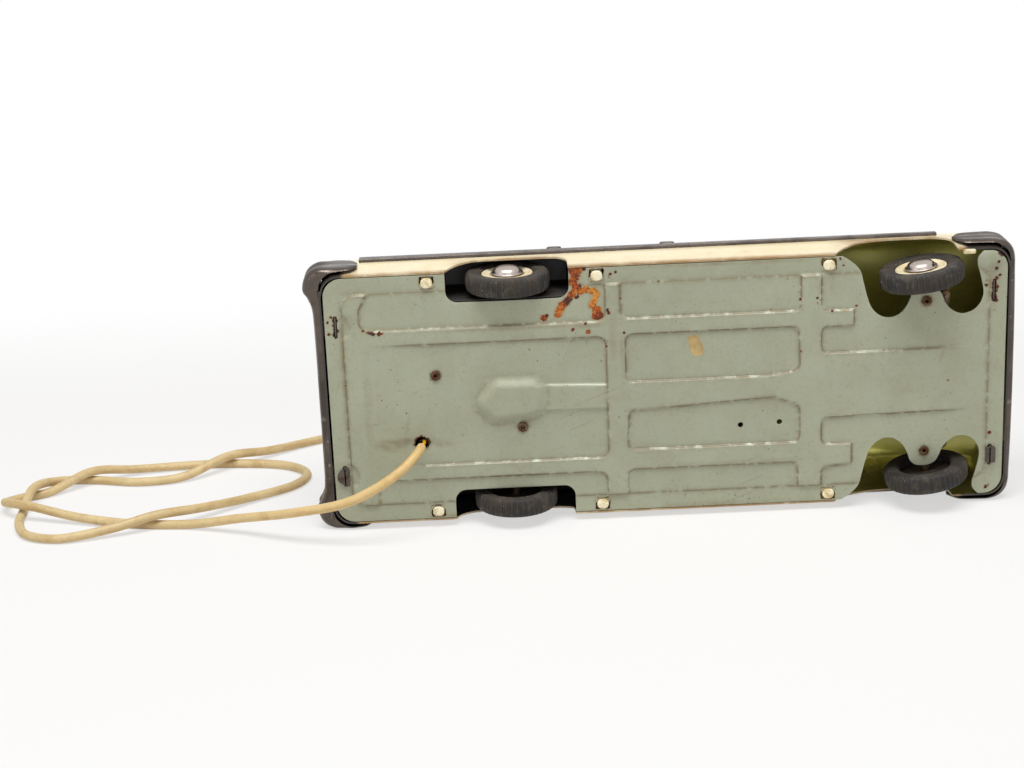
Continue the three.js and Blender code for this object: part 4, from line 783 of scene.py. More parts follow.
def inset(corners, radius):
    """A convex outline moved inward by a radius."""
    count = len(corners)
    area = sum(a[0] * b[1] - b[0] * a[1] for a, b in zip(corners, corners[1:] + corners[:1]))
    turn = 1 if area > 0 else -1
    moved = []
    for i in range(count):
        before, here, after = corners[i - 1], corners[i], corners[(i + 1) % count]
        lines = []
        for a, b in ((before, here), (here, after)):
            dx, dy = b[0] - a[0], b[1] - a[1]
            size = math.hypot(dx, dy)
            nx, ny = -dy / size * turn, dx / size * turn
            lines.append((nx, ny, nx * a[0] + ny * a[1] + radius))
        (a, b, c), (d, e, f) = lines
        det = a * e - b * d
        moved.append(((c * e - b * f) / det, (a * f - c * d) / det))
    return moved


def outline_distance(x, z, corners, radius):
    """Distance from a convex outline with round corners, negative inside."""
    points = inset(corners, radius) if radius else corners
    points = points + points[:1]
    least = line_distance(x, z, points)
    signs = [(bx - ax) * (z - az) - (bz - az) * (x - ax) > 0
             for (ax, az), (bx, bz) in zip(points, points[1:])]
    inside = np.all(signs, axis=0) | ~np.any(signs, axis=0)
    return np.where(inside, -least, least) - radius


def ease(value):
    value = np.clip(value, 0, 1)
    return value * value * (3 - 2 * value)


def line_distance(x, z, points):
    least = np.full(x.shape, 1e9)
    for (ax, az), (bx, bz) in zip(points, points[1:]):
        ex, ez = bx - ax, bz - az
        wx, wz = x - ax, z - az
        t = np.clip((wx * ex + wz * ez) / (ex * ex + ez * ez), 0, 1)
        least = np.minimum(least, np.hypot(wx - ex * t, wz - ez * t))
    return least


def panel_parts(x, z):
    """Distance from each pressed panel's edge, and how deep that panel is at each place."""
    for corners, radius, *fade in PLATE_PANELS:
        away = outline_distance(x, z, corners, radius)
        depth = ease((x - fade[0]) / (fade[1] - fade[0])) if fade else 1
        yield away, depth


def panel_share(x, z):
    return np.maximum.reduce([ease(0.5 - away) * deep for away, deep in panel_parts(x, z)])


def panel_folds(x, z, shift, width):
    """How near each place is to a fold that lies a shift outside a panel's edge."""
    parts = list(panel_parts(x, z))
    best = np.zeros(x.shape)
    for k, (away, deep) in enumerate(parts):
        others = np.maximum.reduce([ease(0.5 - a) * d for j, (a, d) in enumerate(parts)
                                    if j != k])
        best = np.maximum(best, np.exp(-np.abs(away - shift) / width) * deep * (1 - others))
    return best


def plate_height(x, z):
    """Outer face of the pressed plate; negative stands out toward the viewer."""
    depth = sizes().press_depth / MM
    rim = -0.22 * np.clip((np.abs(z) - 47.5) / 7.3, 0, 1)
    field = ease(0.5 - outline_distance(x, z, *PLATE_FIELD) / 1.1)
    panel = panel_share(x, z)
    high = -1.2
    y = rim + (high + depth * panel - rim) * field
    neck = ease(0.5 - outline_distance(x, z, *PLATE_NECK) / 1.2)
    y += (high - y) * neck * field
    bulge = ease(0.28 - outline_distance(x, z, *PLATE_BULGE) / 5.5)
    y += (-3.1 - y) * bulge
    for px, pz in [(px, sign * pz) for px, pz in FIXINGS.values() for sign in (1, -1)]:
        y -= y * ease(0.5 - (np.hypot(x - px, z - pz) - 6.1) / 0.9)
    dent = ease(1.25 - np.hypot((x + 40.9) / 12.6, (z + 20.9) / 2.3))
    y += 0.5 * dent
    dome = ease(1 - (np.hypot(x - 204.6, z - 50.4) / 6) ** 2)
    y -= 0.9 * dome
    for k, (a, b, c, size) in enumerate(((0.061, 0.043, 1, 0.05), (-0.038, 0.083, 2, 0.06),
                                         (0.21, 0.11, 0.5, 0.022), (0.09, -0.26, 4, 0.02),
                                         (0.34, 0.31, 2.2, 0.012), (-0.41, 0.22, 0.3, 0.012))):
        y += size * np.sin(a * x + b * z + c) * (1 - 0.5 * field * (k < 2))
    return y


def grid_lines(low, high, coarse, marks, spread, fine, busy):
    """Places from low to high, closer together about the marks and in a busy stretch."""
    places = [low]
    while places[-1] < high:
        near = min(abs(places[-1] - mark) for mark in marks)
        step = fine if near < spread else coarse
        if busy[0] < places[-1] < busy[1]:
            step = min(step, 0.7)
        places.append(places[-1] + step)
    places[-1] = high
    return np.array(places)


def plate_sheet():
    across = grid_lines(-REAR, FRONT, 1.4, [-71.2, -67.5, -64, -37.5, -31.2, -14.5, 14, 40.6, 48.2,
                                            123.8, 133, 139.4, 146.6, 205, 207.5],
                        1.6, 0.42, (12, 44))
    up = grid_lines(-BASE_HALF, BASE_HALF, 1.2, [-47.5, -36.2, -29.4, -27.4, -15.8, -7.6, 3.4,
                                                 12.6, 24.8, 31.6, 47.5], 1.6, 0.42, (26, 55))
    deselect()
    bpy.ops.mesh.primitive_grid_add(x_subdivisions=len(across) - 1, y_subdivisions=len(up) - 1)
    obj = named("base_plate")
    x, z = [part.reshape(-1) for part in np.meshgrid(across, up)]
    points = np.stack([x, plate_height(x, z), z], axis=1) + np.array(CAR)
    obj.data.vertices.foreach_set("co", (points * MM).reshape(-1))
    edit(obj, face_out)
    if obj.data.polygons[0].normal.y > 0:
        edit(obj, bpy.ops.mesh.flip_normals)
    modify(obj, "SOLIDIFY", thickness=SHEET * MM, offset=-1)
    return obj


def round_outline(x0, x1, z0, z1, radius, steps=6):
    points = []
    for cx, cz, start in ((x1 - radius, z1 - radius, 0), (x0 + radius, z1 - radius, 1),
                          (x0 + radius, z0 + radius, 2), (x1 - radius, z0 + radius, 3)):
        for k in range(steps + 1):
            angle = (start + k / steps) * math.pi / 2
            points.append((cx + radius * math.cos(angle), cz + radius * math.sin(angle)))
    return points


def disc_outline(x, z, radius, steps=28):
    return [(x + radius * math.cos(2 * math.pi * k / steps),
             z + radius * math.sin(2 * math.pi * k / steps)) for k in range(steps)]


def upward(a, b, h):
    """Lays an outline of x and z at a height from the plate."""
    return at(a, h, b)


def smooth_outline(points, spacing=0.7):
    return [(p.x, p.y) for p in curve_through([(a, b, 0) for a, b in points], spacing)]


def plate_cutters():
    outlines = []
    front = FRONT_CUT[:1] + smooth_outline(FRONT_CUT[1:-1]) + FRONT_CUT[-1:]
    well = round_outline(-26.6, 25.8, 42.2, 66, 5)
    for sign in (1, -1):
        outlines.append([(x, sign * z) for x, z in front])
        outlines.append([(x, sign * z) for x, z in well])
        outlines += [round_outline(x - 3, x + 3, *sorted((sign * 50.8, sign * 54.2)), 0.4, 3)
                     for x in TAB_PLACES]
        for x, z in FIXINGS.values():
            middle = sign * z
            outlines.append(round_outline(x - 0.8, x + 0.8, middle - 4.8, middle + 4.8, 0.6, 3))
        for x, reach in ((-REAR, -1), (FRONT, 1)):
            beyond = sign * (BASE_HALF + 1)
            centre_x, centre_z = x - reach * CORNER, sign * (BASE_HALF - CORNER)
            corner = [(x + reach, beyond), (centre_x, beyond)]
            corner += [(centre_x + reach * CORNER * math.sin(k * math.pi / 20),
                        centre_z + sign * CORNER * math.cos(k * math.pi / 20)) for k in range(11)]
            corner.append((x + reach, centre_z))
            outlines.append(corner)
        outlines.append(disc_outline(WHEELBASE, sign * KINGPIN, 1.7))
    outlines += [disc_outline(x, z, 1.7) for x, z in BRACKET_RIVETS]
    outlines += [disc_outline(98.1, -18.2, 1.2, 20), disc_outline(115, -17.6, 1.2, 20)]
    outlines.append(disc_outline(*CORD_HOLE, 2.9))
    return [prism(f"cutter_{k}", outline, -6, 6, upward) for k, outline in enumerate(outlines)]


def ring_of(x, z, reach_x, reach_z, count, size, tone):
    """Uneven rust marks in a ring about a slot or a hole."""
    marks = []
    for k in range(count):
        angle = 2 * math.pi * (k + 0.6 * noise.noise(Vector((x, z, k)))) / count
        grow = 0.55 + 0.9 * noise.noise(Vector((z, k * 0.7, x)))
        marks.append((x + reach_x * math.cos(angle), z + reach_z * math.sin(angle),
                      max(0.25, size * grow), tone))
    return marks


def rust_marks():
    marks = list(RUST)
    for sign in (1, -1):
        for end, size, tone in (("front", 0.8, 0.9), ("rear", 0.7, 0.95)):
            x, z = FIXINGS[end]
            marks += ring_of(x, sign * z, 1, 4.6, 26, size, tone)
    return marks + ring_of(*CORD_HOLE, 3, 3, 22, 0.8, 0.95)


def mark_plate(obj):
    """Lays rust, grime with painted shade, smudges, and wear with painted glints on the plate's
    points.
    """
    count = len(obj.data.vertices)
    flat = np.empty(count * 3)
    obj.data.vertices.foreach_get("co", flat)
    points = flat.reshape(-1, 3) / MM - np.array(CAR)
    x, z = points[:, 0], points[:, 2]
    inner = outline_distance(x, z, *PLATE_FIELD) < -0.5
    fold = np.exp(-np.abs(outline_distance(x, z, *PLATE_FIELD)) / 0.6)
    ring = np.exp(-np.abs(outline_distance(x, z, *PLATE_BULGE) - 1) / 0.9)
    # Brown fold lines: grime, and painted shade in the folds, pressed walls and about the bulge.
    grime_and_shade = np.clip(0.8 * fold + panel_folds(x, z, -0.1, 0.55) * inner + 0.4 * ring, 0, 1)
    # Grime with a painted shadow ring about each rivet and kingpin.
    for px, pz in (*BRACKET_RIVETS, (WHEELBASE, KINGPIN), (WHEELBASE, -KINGPIN)):
        grime_and_shade = np.maximum(grime_and_shade, ease(3.2 - np.hypot(x - px, z - pz)))
    edge = line_distance(x, np.abs(z), FRONT_CUT)
    well = [(-26.6, 42.2), (25.8, 42.2), (25.8, 66), (-26.6, 66)]
    well = outline_distance(x, np.abs(z), well, 5)
    # Pale edges: worn paint, and painted glints along rib crests and the cut edges of the
    # openings.
    wear_and_glint = np.maximum.reduce([panel_folds(x, z, 0.55, 0.3) * inner, np.exp(-edge / 0.45),
                              np.exp(-np.abs(well) / 0.4) * 0.5])
    rust, tone, weight = np.zeros(count), np.zeros(count), np.full(count, 1e-9)
    for px, pz, size, shade in rust_marks():
        away = np.hypot(x - px, z - pz) / size
        rust = np.maximum(rust, 1 - away / 2)
        near = np.exp(-2 * away * away)
        tone += shade * near
        weight += near
    for px in TAB_PLACES:
        slot = [(px - 3.2, 48.8), (px + 3.2, 48.8), (px + 3.2, 54.4), (px - 3.2, 54.4)]
        away = np.abs(outline_distance(x, np.abs(z), slot, 0.6))
        rust = np.maximum(rust, 0.58 - away / 1.4)
        near = 2 * np.exp(-(away / 0.7) ** 2)
        tone += near
        weight += near
    smudge = np.zeros(count)
    for px, pz, long, wide, strength in SMUDGES:
        away = np.hypot((x - px) / long, (z - pz) / wide)
        smudge = np.maximum(smudge, strength * ease(1.35 - away))
    for name, values in (("grime_and_shade", grime_and_shade), ("wear_and_glint", wear_and_glint), ("rust", np.clip(rust, 0, 1)),
                         ("rust_tone", tone / weight), ("smudge", smudge)):
        layer = obj.data.attributes.new(name, "FLOAT", "POINT")
        layer.data.foreach_set("value", values.astype(np.float32))


def plate_lacquer():
    """Grey-green lacquer with brown stain and painted shade in the folds, pale worn edges with
    painted glints, dark specks and orange rust.
    """
    draw = Finish("plate_lacquer", metal=0.1, Coat_Weight=0.2, Coat_Roughness=0.3)
    tone = colors().plate
    fine = draw.cloud(70, 0.35, 0.7)
    draw.base = draw.mix(draw.cloud(14, 0.3, 0.75), scaled(tone, 0.92), scaled(tone, 1.05))
    draw.over(fine, 0.28, ink(146, 140, 112))
    draw.over(draw.step(draw.grain(700, 3, 0.7), 0.5, 0.7), 0.3, ink(138, 134, 108))
    smudge = draw.times(draw.attribute("smudge"), draw.cloud(110, 0.3, 0.66))
    draw.over(smudge, 0.8, ink(124, 102, 66))
    # Broken brown lines in the folds: grime and painted shade.
    broken = draw.step(draw.grain(230, 4, 0.65), 0.36, 0.52)
    grime_and_shade = draw.times(draw.attribute("grime_and_shade"), broken)
    draw.over(grime_and_shade, 0.95, colors().grime_and_shade)
    # Pale worn edges, partly painted glints.
    draw.over(draw.attribute("wear_and_glint"), 0.15, ink(204, 204, 192))
    draw.over(draw.marks(46, 0.22), 1, ink(126, 108, 76))
    draw.over(draw.dots(330, 0.36), 0.8, ink(76, 54, 34))
    draw.over(draw.dots(820, 0.46), 0.55, ink(110, 88, 58))
    ragged = draw.math("SUBTRACT", draw.grain(420, 6, 0.72), 0.5)
    reach = draw.math("ADD", draw.attribute("rust"), draw.times(ragged, 1.1))
    rust = draw.step(reach, 0.47, 0.56)
    halo = draw.times(draw.step(reach, 0.22, 0.5), 0.5)
    draw.over(halo, 1, ink(158, 130, 88))
    flecks = draw.grain(900, 4, 0.75)
    shade = draw.math("ADD", draw.attribute("rust_tone"),
                      draw.times(draw.math("SUBTRACT", flecks, 0.5), 2.4))
    fresh = draw.mix(draw.step(shade, 0.0, 0.34), ink(204, 142, 56), colors().rust)
    fresh = draw.mix(draw.step(shade, 0.4, 0.66), fresh, ink(104, 40, 8))
    fresh = draw.mix(draw.step(shade, 0.74, 0.95), fresh, ink(44, 25, 17))
    draw.over(rust, 1, fresh)
    draw.over(draw.times(draw.dots(640, 0.5), halo), 0.9, ink(222, 216, 204))
    dull = draw.most(rust, draw.times(grime_and_shade, 0.6))
    rough = draw.blend(dull, draw.blend(fine, 0.36, 0.5), 0.85)
    flaky = draw.math("SUBTRACT", rust, draw.times(flecks, rust))
    return draw.done(rough, (draw.grain(170, 4, 0.6), 0.25, 0.16), (flaky, 0.8, 0.25))


class SALOON_OT_base_plate(bpy.types.Operator):
    """Press the base plate, cut its openings and mark its rust"""

    bl_idname = "saloon.base_plate"
    bl_label = "Base Plate"

    def execute(self, context):
        plate = plate_sheet()
        cut(plate, join("cutters", *plate_cutters()))
        edit(plate, lambda: bpy.ops.mesh.remove_doubles(threshold=1e-5))
        round_edges(plate, 0.14, 2, 50)
        mark_plate(plate)
        dress(plate, plate_lacquer(), stands_for=["base_plate"], slot="base_paint", angle=40)
        outline = [(75.6, 22.2), (78.2, 23.6), (80.5, 22.4), (82.2, 18.4), (82.9, 16),
                   (81.8, 14.2), (79, 13.4), (77.1, 15.5)]
        tape = prism("tape_scrap", outline, -0.3, -0.18, upward)
        round_edges(tape, 0.04, 1)
        dress(tape, clouded("old_tape", (140, 0.35, 0.7), (ink(196, 170, 116), ink(162, 136, 88)),
                            (0.5, 0.7), (700, 3, 0.4, 0.1)))
        return {"FINISHED"}


# Body

BODY_DECK = [
    (-80, 35), (-76, 38.5), (-70, 41), (-48, 43.4), (-28, 44.6), (60, 46), (112, 46.6),
    (150, 45.2), (185, 42.4), (203, 39.4), (209, 36.6), (214, 33),
]
CABIN = [
    (38, -36, 121, 50.6, 14), (46, -30.5, 113.5, 50.2, 14), (58, -14.5, 99.5, 47.6, 13),
    (69.5, 1, 87.5, 43.8, 12), (75.4, 10, 79.5, 40.2, 12), (78.2, 18, 71.5, 35, 11),
    (79, 28, 62, 27, 10),
]
# Rear, front, height and corner radius of each pair of wheel arches
ARCHES = {"rear_arch": (-26.7, 25.6, 12.2, 9), "front_arch": (139, 191, 15.6, 14)}


def between(table, x):
    if x <= table[0][0]:
        return table[0][1]
    for (x0, y0), (x1, y1) in zip(table, table[1:]):
        if x <= x1:
            return y0 + (y1 - y0) * (x - x0) / (x1 - x0)
    return table[-1][1]


def picked(points, count):
    """Points of a dense line at even steps, with both its ends."""
    return [points[round(k * (len(points) - 1) / count)] for k in range(count + 1)]


def body_section(x, deck_table):
    """Half a section from the skirt to the middle of the deck, as (height, half width)."""
    reach = min(x - BODY_REAR, BODY_FRONT - x)
    pull = 0.0
    if reach < CORNER:
        pull = CORNER - math.sqrt(max(0.0, CORNER ** 2 - (CORNER - max(reach, 0)) ** 2))
    deck = between(deck_table, x)
    half = [(0, 55.9), (4, 56.3), (8, 56.65), (12.2, 57.4), (min(21, deck - 6.8), 57.4),
            (deck - 6, 53.6), (deck - 1.6, 52.1), (deck + 0.2, 49), (deck + 1.2, 38),
            (deck + 1.8, 26), (deck + 2.3, 12), (deck + 2.4, 0)]
    return [(y, max(0.0, z - pull)) for y, z in half]


def body_loft():
    """The closed outer form of the body below the windows."""
    deck_table = smooth_outline(BODY_DECK, 1.5)
    bend = [CORNER * (1 - math.cos(k * math.pi / 16)) for k in range(8)]
    straight = BODY_FRONT - BODY_REAR - 2 * CORNER
    stations = [BODY_REAR + step for step in bend]
    stations += [BODY_REAR + CORNER + k * straight / 90 for k in range(91)]
    stations += [BODY_FRONT - step for step in bend[::-1]]
    rings = []
    for x in stations:
        right = picked(smooth_outline(body_section(x, deck_table), 1.9), 44)
        right[-1] = (right[-1][0], 0.0)
        rings.append([(x, y, z) for y, z in right] + [(x, y, -z) for y, z in right[-2::-1]])
    shrink = [(0.05, 0.25), (0.3, 0.6), (0.6, 0.8), (0.85, 0.9), (1.0, 0.9)]
    caps = []
    for ring, out in ((rings[0], -1), (rings[-1], 1)):
        caps.append([[(x + out * lift * 0.5, y * (1 - s), z) for x, y, z in ring]
                     for s, lift in shrink])
    rings = caps[0][::-1] + rings + caps[1]
    across, along = len(rings[0]) - 1, len(rings) - 1
    obj = skin("body_form", across, along, lambda i, j: at(*rings[j][i]))
    edit(obj, close_holes, face_out)
    return obj


def cabin_loft():
    """The closed outer form of the cabin, with soft corners."""
    columns = [smooth_outline([(row[0], row[k]) for row in CABIN], 1.0) for k in range(1, 5)]
    rings = []
    for y, rear in picked(columns[0], 36):
        front, half, radius = [between(column, y) for column in columns[1:]]
        outline = round_outline(rear, front, -half, half, radius, 10)
        rings.append([(x, y, z) for x, z in outline])
    last = rings[-1]
    middle_x = sum(p[0] for p in last) / len(last)
    for s, lift in ((0.4, 0.35), (0.8, 0.5), (1.0, 0.52)):
        rings.append([(x + (middle_x - x) * s, y + lift, z * (1 - s)) for x, y, z in last])
    total = len(rings[0])
    obj = skin("cabin_form", total, len(rings) - 1, lambda i, j: at(*rings[j][i % total]))
    edit(obj, close_holes, face_out)
    return obj


def lengthways(a, b, h):
    """Lays an outline of z and height at a place along the car."""
    return at(h, b, a)


def rounded_polygon(corners, radius, steps=4):
    """A convex outline with its corners rounded."""
    points = []
    for (ax, ay), (bx, by), (cx, cy) in zip(corners[-1:] + corners[:-1], corners,
                                            corners[1:] + corners[:1]):
        one = Vector((ax - bx, ay - by)).normalized() * radius
        two = Vector((cx - bx, cy - by)).normalized() * radius
        corner = Vector((bx, by))
        start, end = corner + one, corner + two
        for k in range(steps + 1):
            t = k / steps
            p = start * (1 - t) ** 2 + corner * (2 * t * (1 - t)) + end * t ** 2
            points.append((p.x, p.y))
    return points


def window_cutters():
    sides = [[(65.5, 50), (101, 50), (82, 69.5), (65.5, 69.5)],
             [(-8, 50), (60, 50), (60, 69.5), (13, 69.5)]]
    cutters = [prism("side_window", rounded_polygon(side, 2.2), -70, 70, at)
               for side in sides]
    screen = rounded_polygon([(-42, 50.5), (42, 50.5), (35.5, 70.5), (-35.5, 70.5)], 3.5)
    cutters.append(prism("wind_screen", screen, 84, 130, lengthways))
    cutters.append(prism("rear_screen", screen, -45, 4, lengthways))
    return cutters


def arch_outline(rear, front, height, radius):
    r = min(radius, height)
    points = [(rear, -5), (rear, 0)]
    for k in range(1, 9):
        t = k / 8
        points.append((rear + r * t * (1 - t) + 2 * r * t * t, height * (1 - (1 - t) ** 2)))
    for k in range(9):
        t = k / 8
        points.append((front - r * (1 - t) ** 2, height * (1 - t * t / 2)))
    points += [(front, -5)]
    return points


def folded_tab(x, sign):
    """A body tab that comes through the plate and folds out over it."""
    side = [(51.4, 3.8), (51.4, -0.9), (50.4, -0.9), (50.4, -0.35), (50.9, -0.35), (50.9, 3),
            (50.9, 3.8)]
    tab = prism("tab", [(sign * z, y) for z, y in side], x - 2.4, x + 2.4, lengthways)
    head = prism("tab_head", round_outline(x - 2.5, x + 2.5, *sorted((sign * 49.3, sign * 53.7)),
                                           2, 5), -1.35, -0.4, upward)
    round_edges(head, 0.4, 3)
    arm = prism("tab_arm", [(sign * 51, 3), (sign * 55.6, 3), (sign * 55.6, 3.8),
                            (sign * 51, 3.8)], x - 2.4, x + 2.4, lengthways)
    return [tab, head, arm]


def body_enamel():
    """Aged cream enamel, brown along the base seam, with pressed door and lid lines, and painted
    shade at its lower ends by the bumpers.
    """
    draw = Finish("body_enamel", Coat_Weight=0.35, Coat_Roughness=0.18)
    tone = colors().body
    x, y, half = draw.car_place()
    cloud = draw.cloud(22, 0.3, 0.72)
    stain = draw.cloud(70, 0.25, 0.62)
    draw.base = draw.mix(cloud, tone, scaled(tone, 0.94, 0.9, 0.8))
    brown = draw.times(draw.step(y, 3.8, 0.4), draw.blend(stain, 0.25, 1.0))
    draw.over(brown, 0.9, ink(128, 82, 34))
    draw.over(draw.times(draw.step(y, 22.6, 2.6), stain), 0.3, ink(206, 170, 106))
    draw.over(draw.dots(260, 0.3), 0.7, ink(96, 66, 38))
    draw.over(draw.marks(22, 0.4), 1, ink(196, 176, 132))
    lines = press_lines(draw, x, y, half)
    draw.over(lines, 0.6, ink(120, 90, 56))
    for rear, front, low, high in ((-29, 28, 12.6, 14.2), (136, 194, 15.9, 17.6)):
        band = draw.times(draw.step(x, rear, rear + 16), draw.step(x, front, front - 12))
        band = draw.times(band, draw.step(y, high, low))
        draw.over(draw.times(band, stain), 0.7, ink(158, 112, 58))
    # Near-black lower ends beside the bumpers: painted shade of the gap between body, bumper and
    # plate.
    ends = draw.most(draw.step(x, -68.5, -71), draw.step(x, 193, 196))
    ends = draw.times(ends, draw.step(y, 10.6, 8.1))
    draw.over(ends, 1, ink(46, 38, 32))
    rough = draw.blend(draw.most(brown, ends), draw.blend(cloud, 0.24, 0.36), 0.6)
    return draw.done(rough, (draw.grain(120), 0.12, 0.2),
                     (draw.math("SUBTRACT", 1.0, lines), 0.9, 0.35))


def press_lines(draw, x, y, half):
    """Pressed lines of doors, bonnet and boot, as one mask."""
    def near(value, place):
        away = draw.math("ABSOLUTE", draw.math("SUBTRACT", value, place))
        return draw.step(away, 0.42, 0.147)

    def inside(value, low, high):
        return draw.times(draw.math("GREATER_THAN", value, low),
                          draw.math("LESS_THAN", value, high))

    flank = draw.times(draw.math("GREATER_THAN", half, 45.5), inside(y, 22, 50))
    sill = draw.times(near(y, 22), inside(x, 12, 112))
    total = draw.times(sill, draw.math("GREATER_THAN", half, 50))
    for place in (12, 61.8, 112):
        total = draw.most(total, draw.times(near(x, place), flank))
    lids = draw.most(inside(x, 118, 215), inside(x, -81, -34))
    cross = draw.most(near(x, 118), near(x, -34))
    edges = draw.most(draw.times(near(half, 41.5), lids),
                      draw.times(cross, draw.math("LESS_THAN", half, 41.5)))
    return draw.most(total, draw.times(edges, draw.math("GREATER_THAN", y, 33)))


def body_lacquer():
    """Gold-olive lacquer on the inside of the pressed sheet, with a painted highlight band and
    painted shade at the flanks and ends.
    """
    draw = Finish("body_lacquer", metal=0.55, Coat_Weight=0.3, Coat_Roughness=0.12)
    tone = colors().lacquer
    x, _, half = draw.car_place()
    cloud = draw.cloud(26, 0.3, 0.7)
    draw.base = draw.mix(cloud, tone, scaled(tone, 0.72))
    # A painted highlight band along the curve inside the body's upper corner.
    painted_highlight_band = draw.times(draw.step(half, 34, 40), draw.step(half, 47, 43))
    draw.over(painted_highlight_band, 0.5, ink(236, 230, 150))
    # Painted shade on the inside of the flanks.
    draw.over(draw.step(half, 50, 55), 0.85, ink(70, 58, 26))
    draw.over(draw.step(x, 44, 32), 0.94, ink(16, 13, 10))
    # Painted shade at the inside's ends by the bumpers.
    draw.over(draw.most(draw.step(x, -76, -78), draw.step(x, 210, 212)), 1, ink(56, 46, 36))
    draw.over(draw.dots(300, 0.3), 0.5, ink(72, 52, 22))
    return draw.done(draw.blend(cloud, 0.24, 0.38), (draw.grain(90), 0.2, 0.3))


class SALOON_OT_body(bpy.types.Operator):
    """Form the body and cabin, cut arches and windows, and fold the tabs"""

    bl_idname = "saloon.body"
    bl_label = "Body"

    def execute(self, context):
        shell = body_loft()
        cut(shell, cabin_loft(), operation="UNION")
        under = prism("under_cut", [(-90, -8), (225, -8), (225, 0.02), (-90, 0.02)], -70, 70,
                      at)
        cut(shell, under)
        self.open_bottom(shell)
        shell.data.materials.append(body_enamel())
        shell.data.materials.append(body_lacquer())
        modify(shell, "SOLIDIFY", thickness=SHEET * MM, offset=-1, material_offset=1)
        arches = [prism(name, arch_outline(*form), -70, 70, at) for name, form in ARCHES.items()]
        cut(shell, join("cutters", *arches, *window_cutters()))
        edit(shell, lambda: bpy.ops.mesh.remove_doubles(threshold=1e-5))
        tabs = [piece for x in TAB_PLACES for sign in (1, -1) for piece in folded_tab(x, sign)]
        tabs.append(prism("ear_tab", round_outline(193, 198.4, 53.6, 55.7, 0.8, 4), -0.9, -0.2,
                          upward))
        tab = join("tabs", *tabs)
        round_edges(tab, 0.15, 2)
        tab.data.materials.append(clouded(
            "tab_enamel", (260, 0.42, 0.62), (ink(250, 240, 206), ink(214, 186, 130)),
            (0.22, 0.45), (480, 3, 0.45, 0.25), (700, 0.5, 0.85, ink(84, 58, 36)),
            Coat_Weight=0.3, Coat_Roughness=0.2))
        shell = join("body_shell", shell, tab)
        dress(shell, None, stands_for=["body_shell"], slot="body_paint", angle=38)
        glass = clouded("window_sheet", (30, 0.35, 0.75), ((0.9, 0.93, 0.92), (0.78, 0.78, 0.7)),
                        (0.05, 0.16), (40, 2, 0.05, 0.2), Transmission_Weight=0.92, IOR=1.49)
        softened("window_insert", glass, "window")
        return {"FINISHED"}

    def open_bottom(self, shell):
        """Takes away the flat faces under the body."""
        take(shell)
        bpy.ops.object.mode_set(mode="EDIT")
        bpy.ops.mesh.select_mode(type="FACE")
        bpy.ops.mesh.select_all(action="DESELECT")
        bpy.ops.object.mode_set(mode="OBJECT")
        limit = (CAR.y + 0.1) * MM
        for face in shell.data.polygons:
            face.select = face.normal.y < -0.9 and face.center.y < limit
        bpy.ops.object.mode_set(mode="EDIT")
        bpy.ops.mesh.delete(type="FACE")
        bpy.ops.mesh.select_mode(type="VERT")
        bpy.ops.object.mode_set(mode="OBJECT")


# Bumpers and trim


def dark_plating():
    """Dark brown-grey glossy plating, with specks and pale scratches."""
    draw = Finish("dark_plating", metal=0.9)
    tone = colors().plating
    cloud, dots = draw.cloud(60, 0.35, 0.7), draw.dots(380, 0.45)
    draw.base = draw.mix(cloud, scaled(tone, 1.35), scaled(tone, 0.75))
    draw.over(dots, 0.8, ink(44, 30, 22))
    draw.over(draw.marks(40, 0.5), 1, ink(170, 160, 148))
    return draw.done(draw.blend(cloud, 0.2, 0.38), (draw.grain(420, 4), 0.16, 0.12),
                     (dots, 0.3, 0.1))


def bumper_run(end):
    """Stations of a bumper from right to left: inner point, outward direction, thickness, rise."""
    rear = end == "rear"
    shares = [0.46, 0.46, 0.5, 0.73, 1, 0.946, 0.676, 0.284] if rear else [
        1, 0.97, 0.88, 0.82, 0.79, 0.79, 0.74, 0.5]
    thick = [(7.4 if rear else 3.4) * share for share in shares] + [1.3, 1.2, 0.9]
    out = -1 if rear else 1
    wrap, tip = (5.4, 2.6) if rear else (10.8, 4.2)
    inner = 8.3
    cx = BODY_REAR + CORNER if rear else BODY_FRONT - CORNER
    cz = 49.4
    rows = [(cx + out * inner, cz * share, out, 0, 1) for share in (0, 0.45, 0.8, 0.92)]
    for k in range(4):
        angle = k * math.pi / 8
        rows.append((cx + out * inner * math.cos(angle), cz + inner * math.sin(angle),
                     out * math.cos(angle), math.sin(angle), 1))
    rows.append((cx, cz + inner, 0, 1, 1))
    rows.append((cx - out * wrap, cz + inner, 0, 1, 0.8 if rear else 0.86))
    rows.append((cx - out * (wrap + tip), cz + inner, 0, 1, 0.34 if rear else 0.12))
    half = [(x, z, nx, nz, t, rise) for (x, z, nx, nz, rise), t in zip(rows, thick)]
    left = [(x, -z, nx, -nz, t, rise) for x, z, nx, nz, t, rise in half[1:]]
    return half[::-1] + left


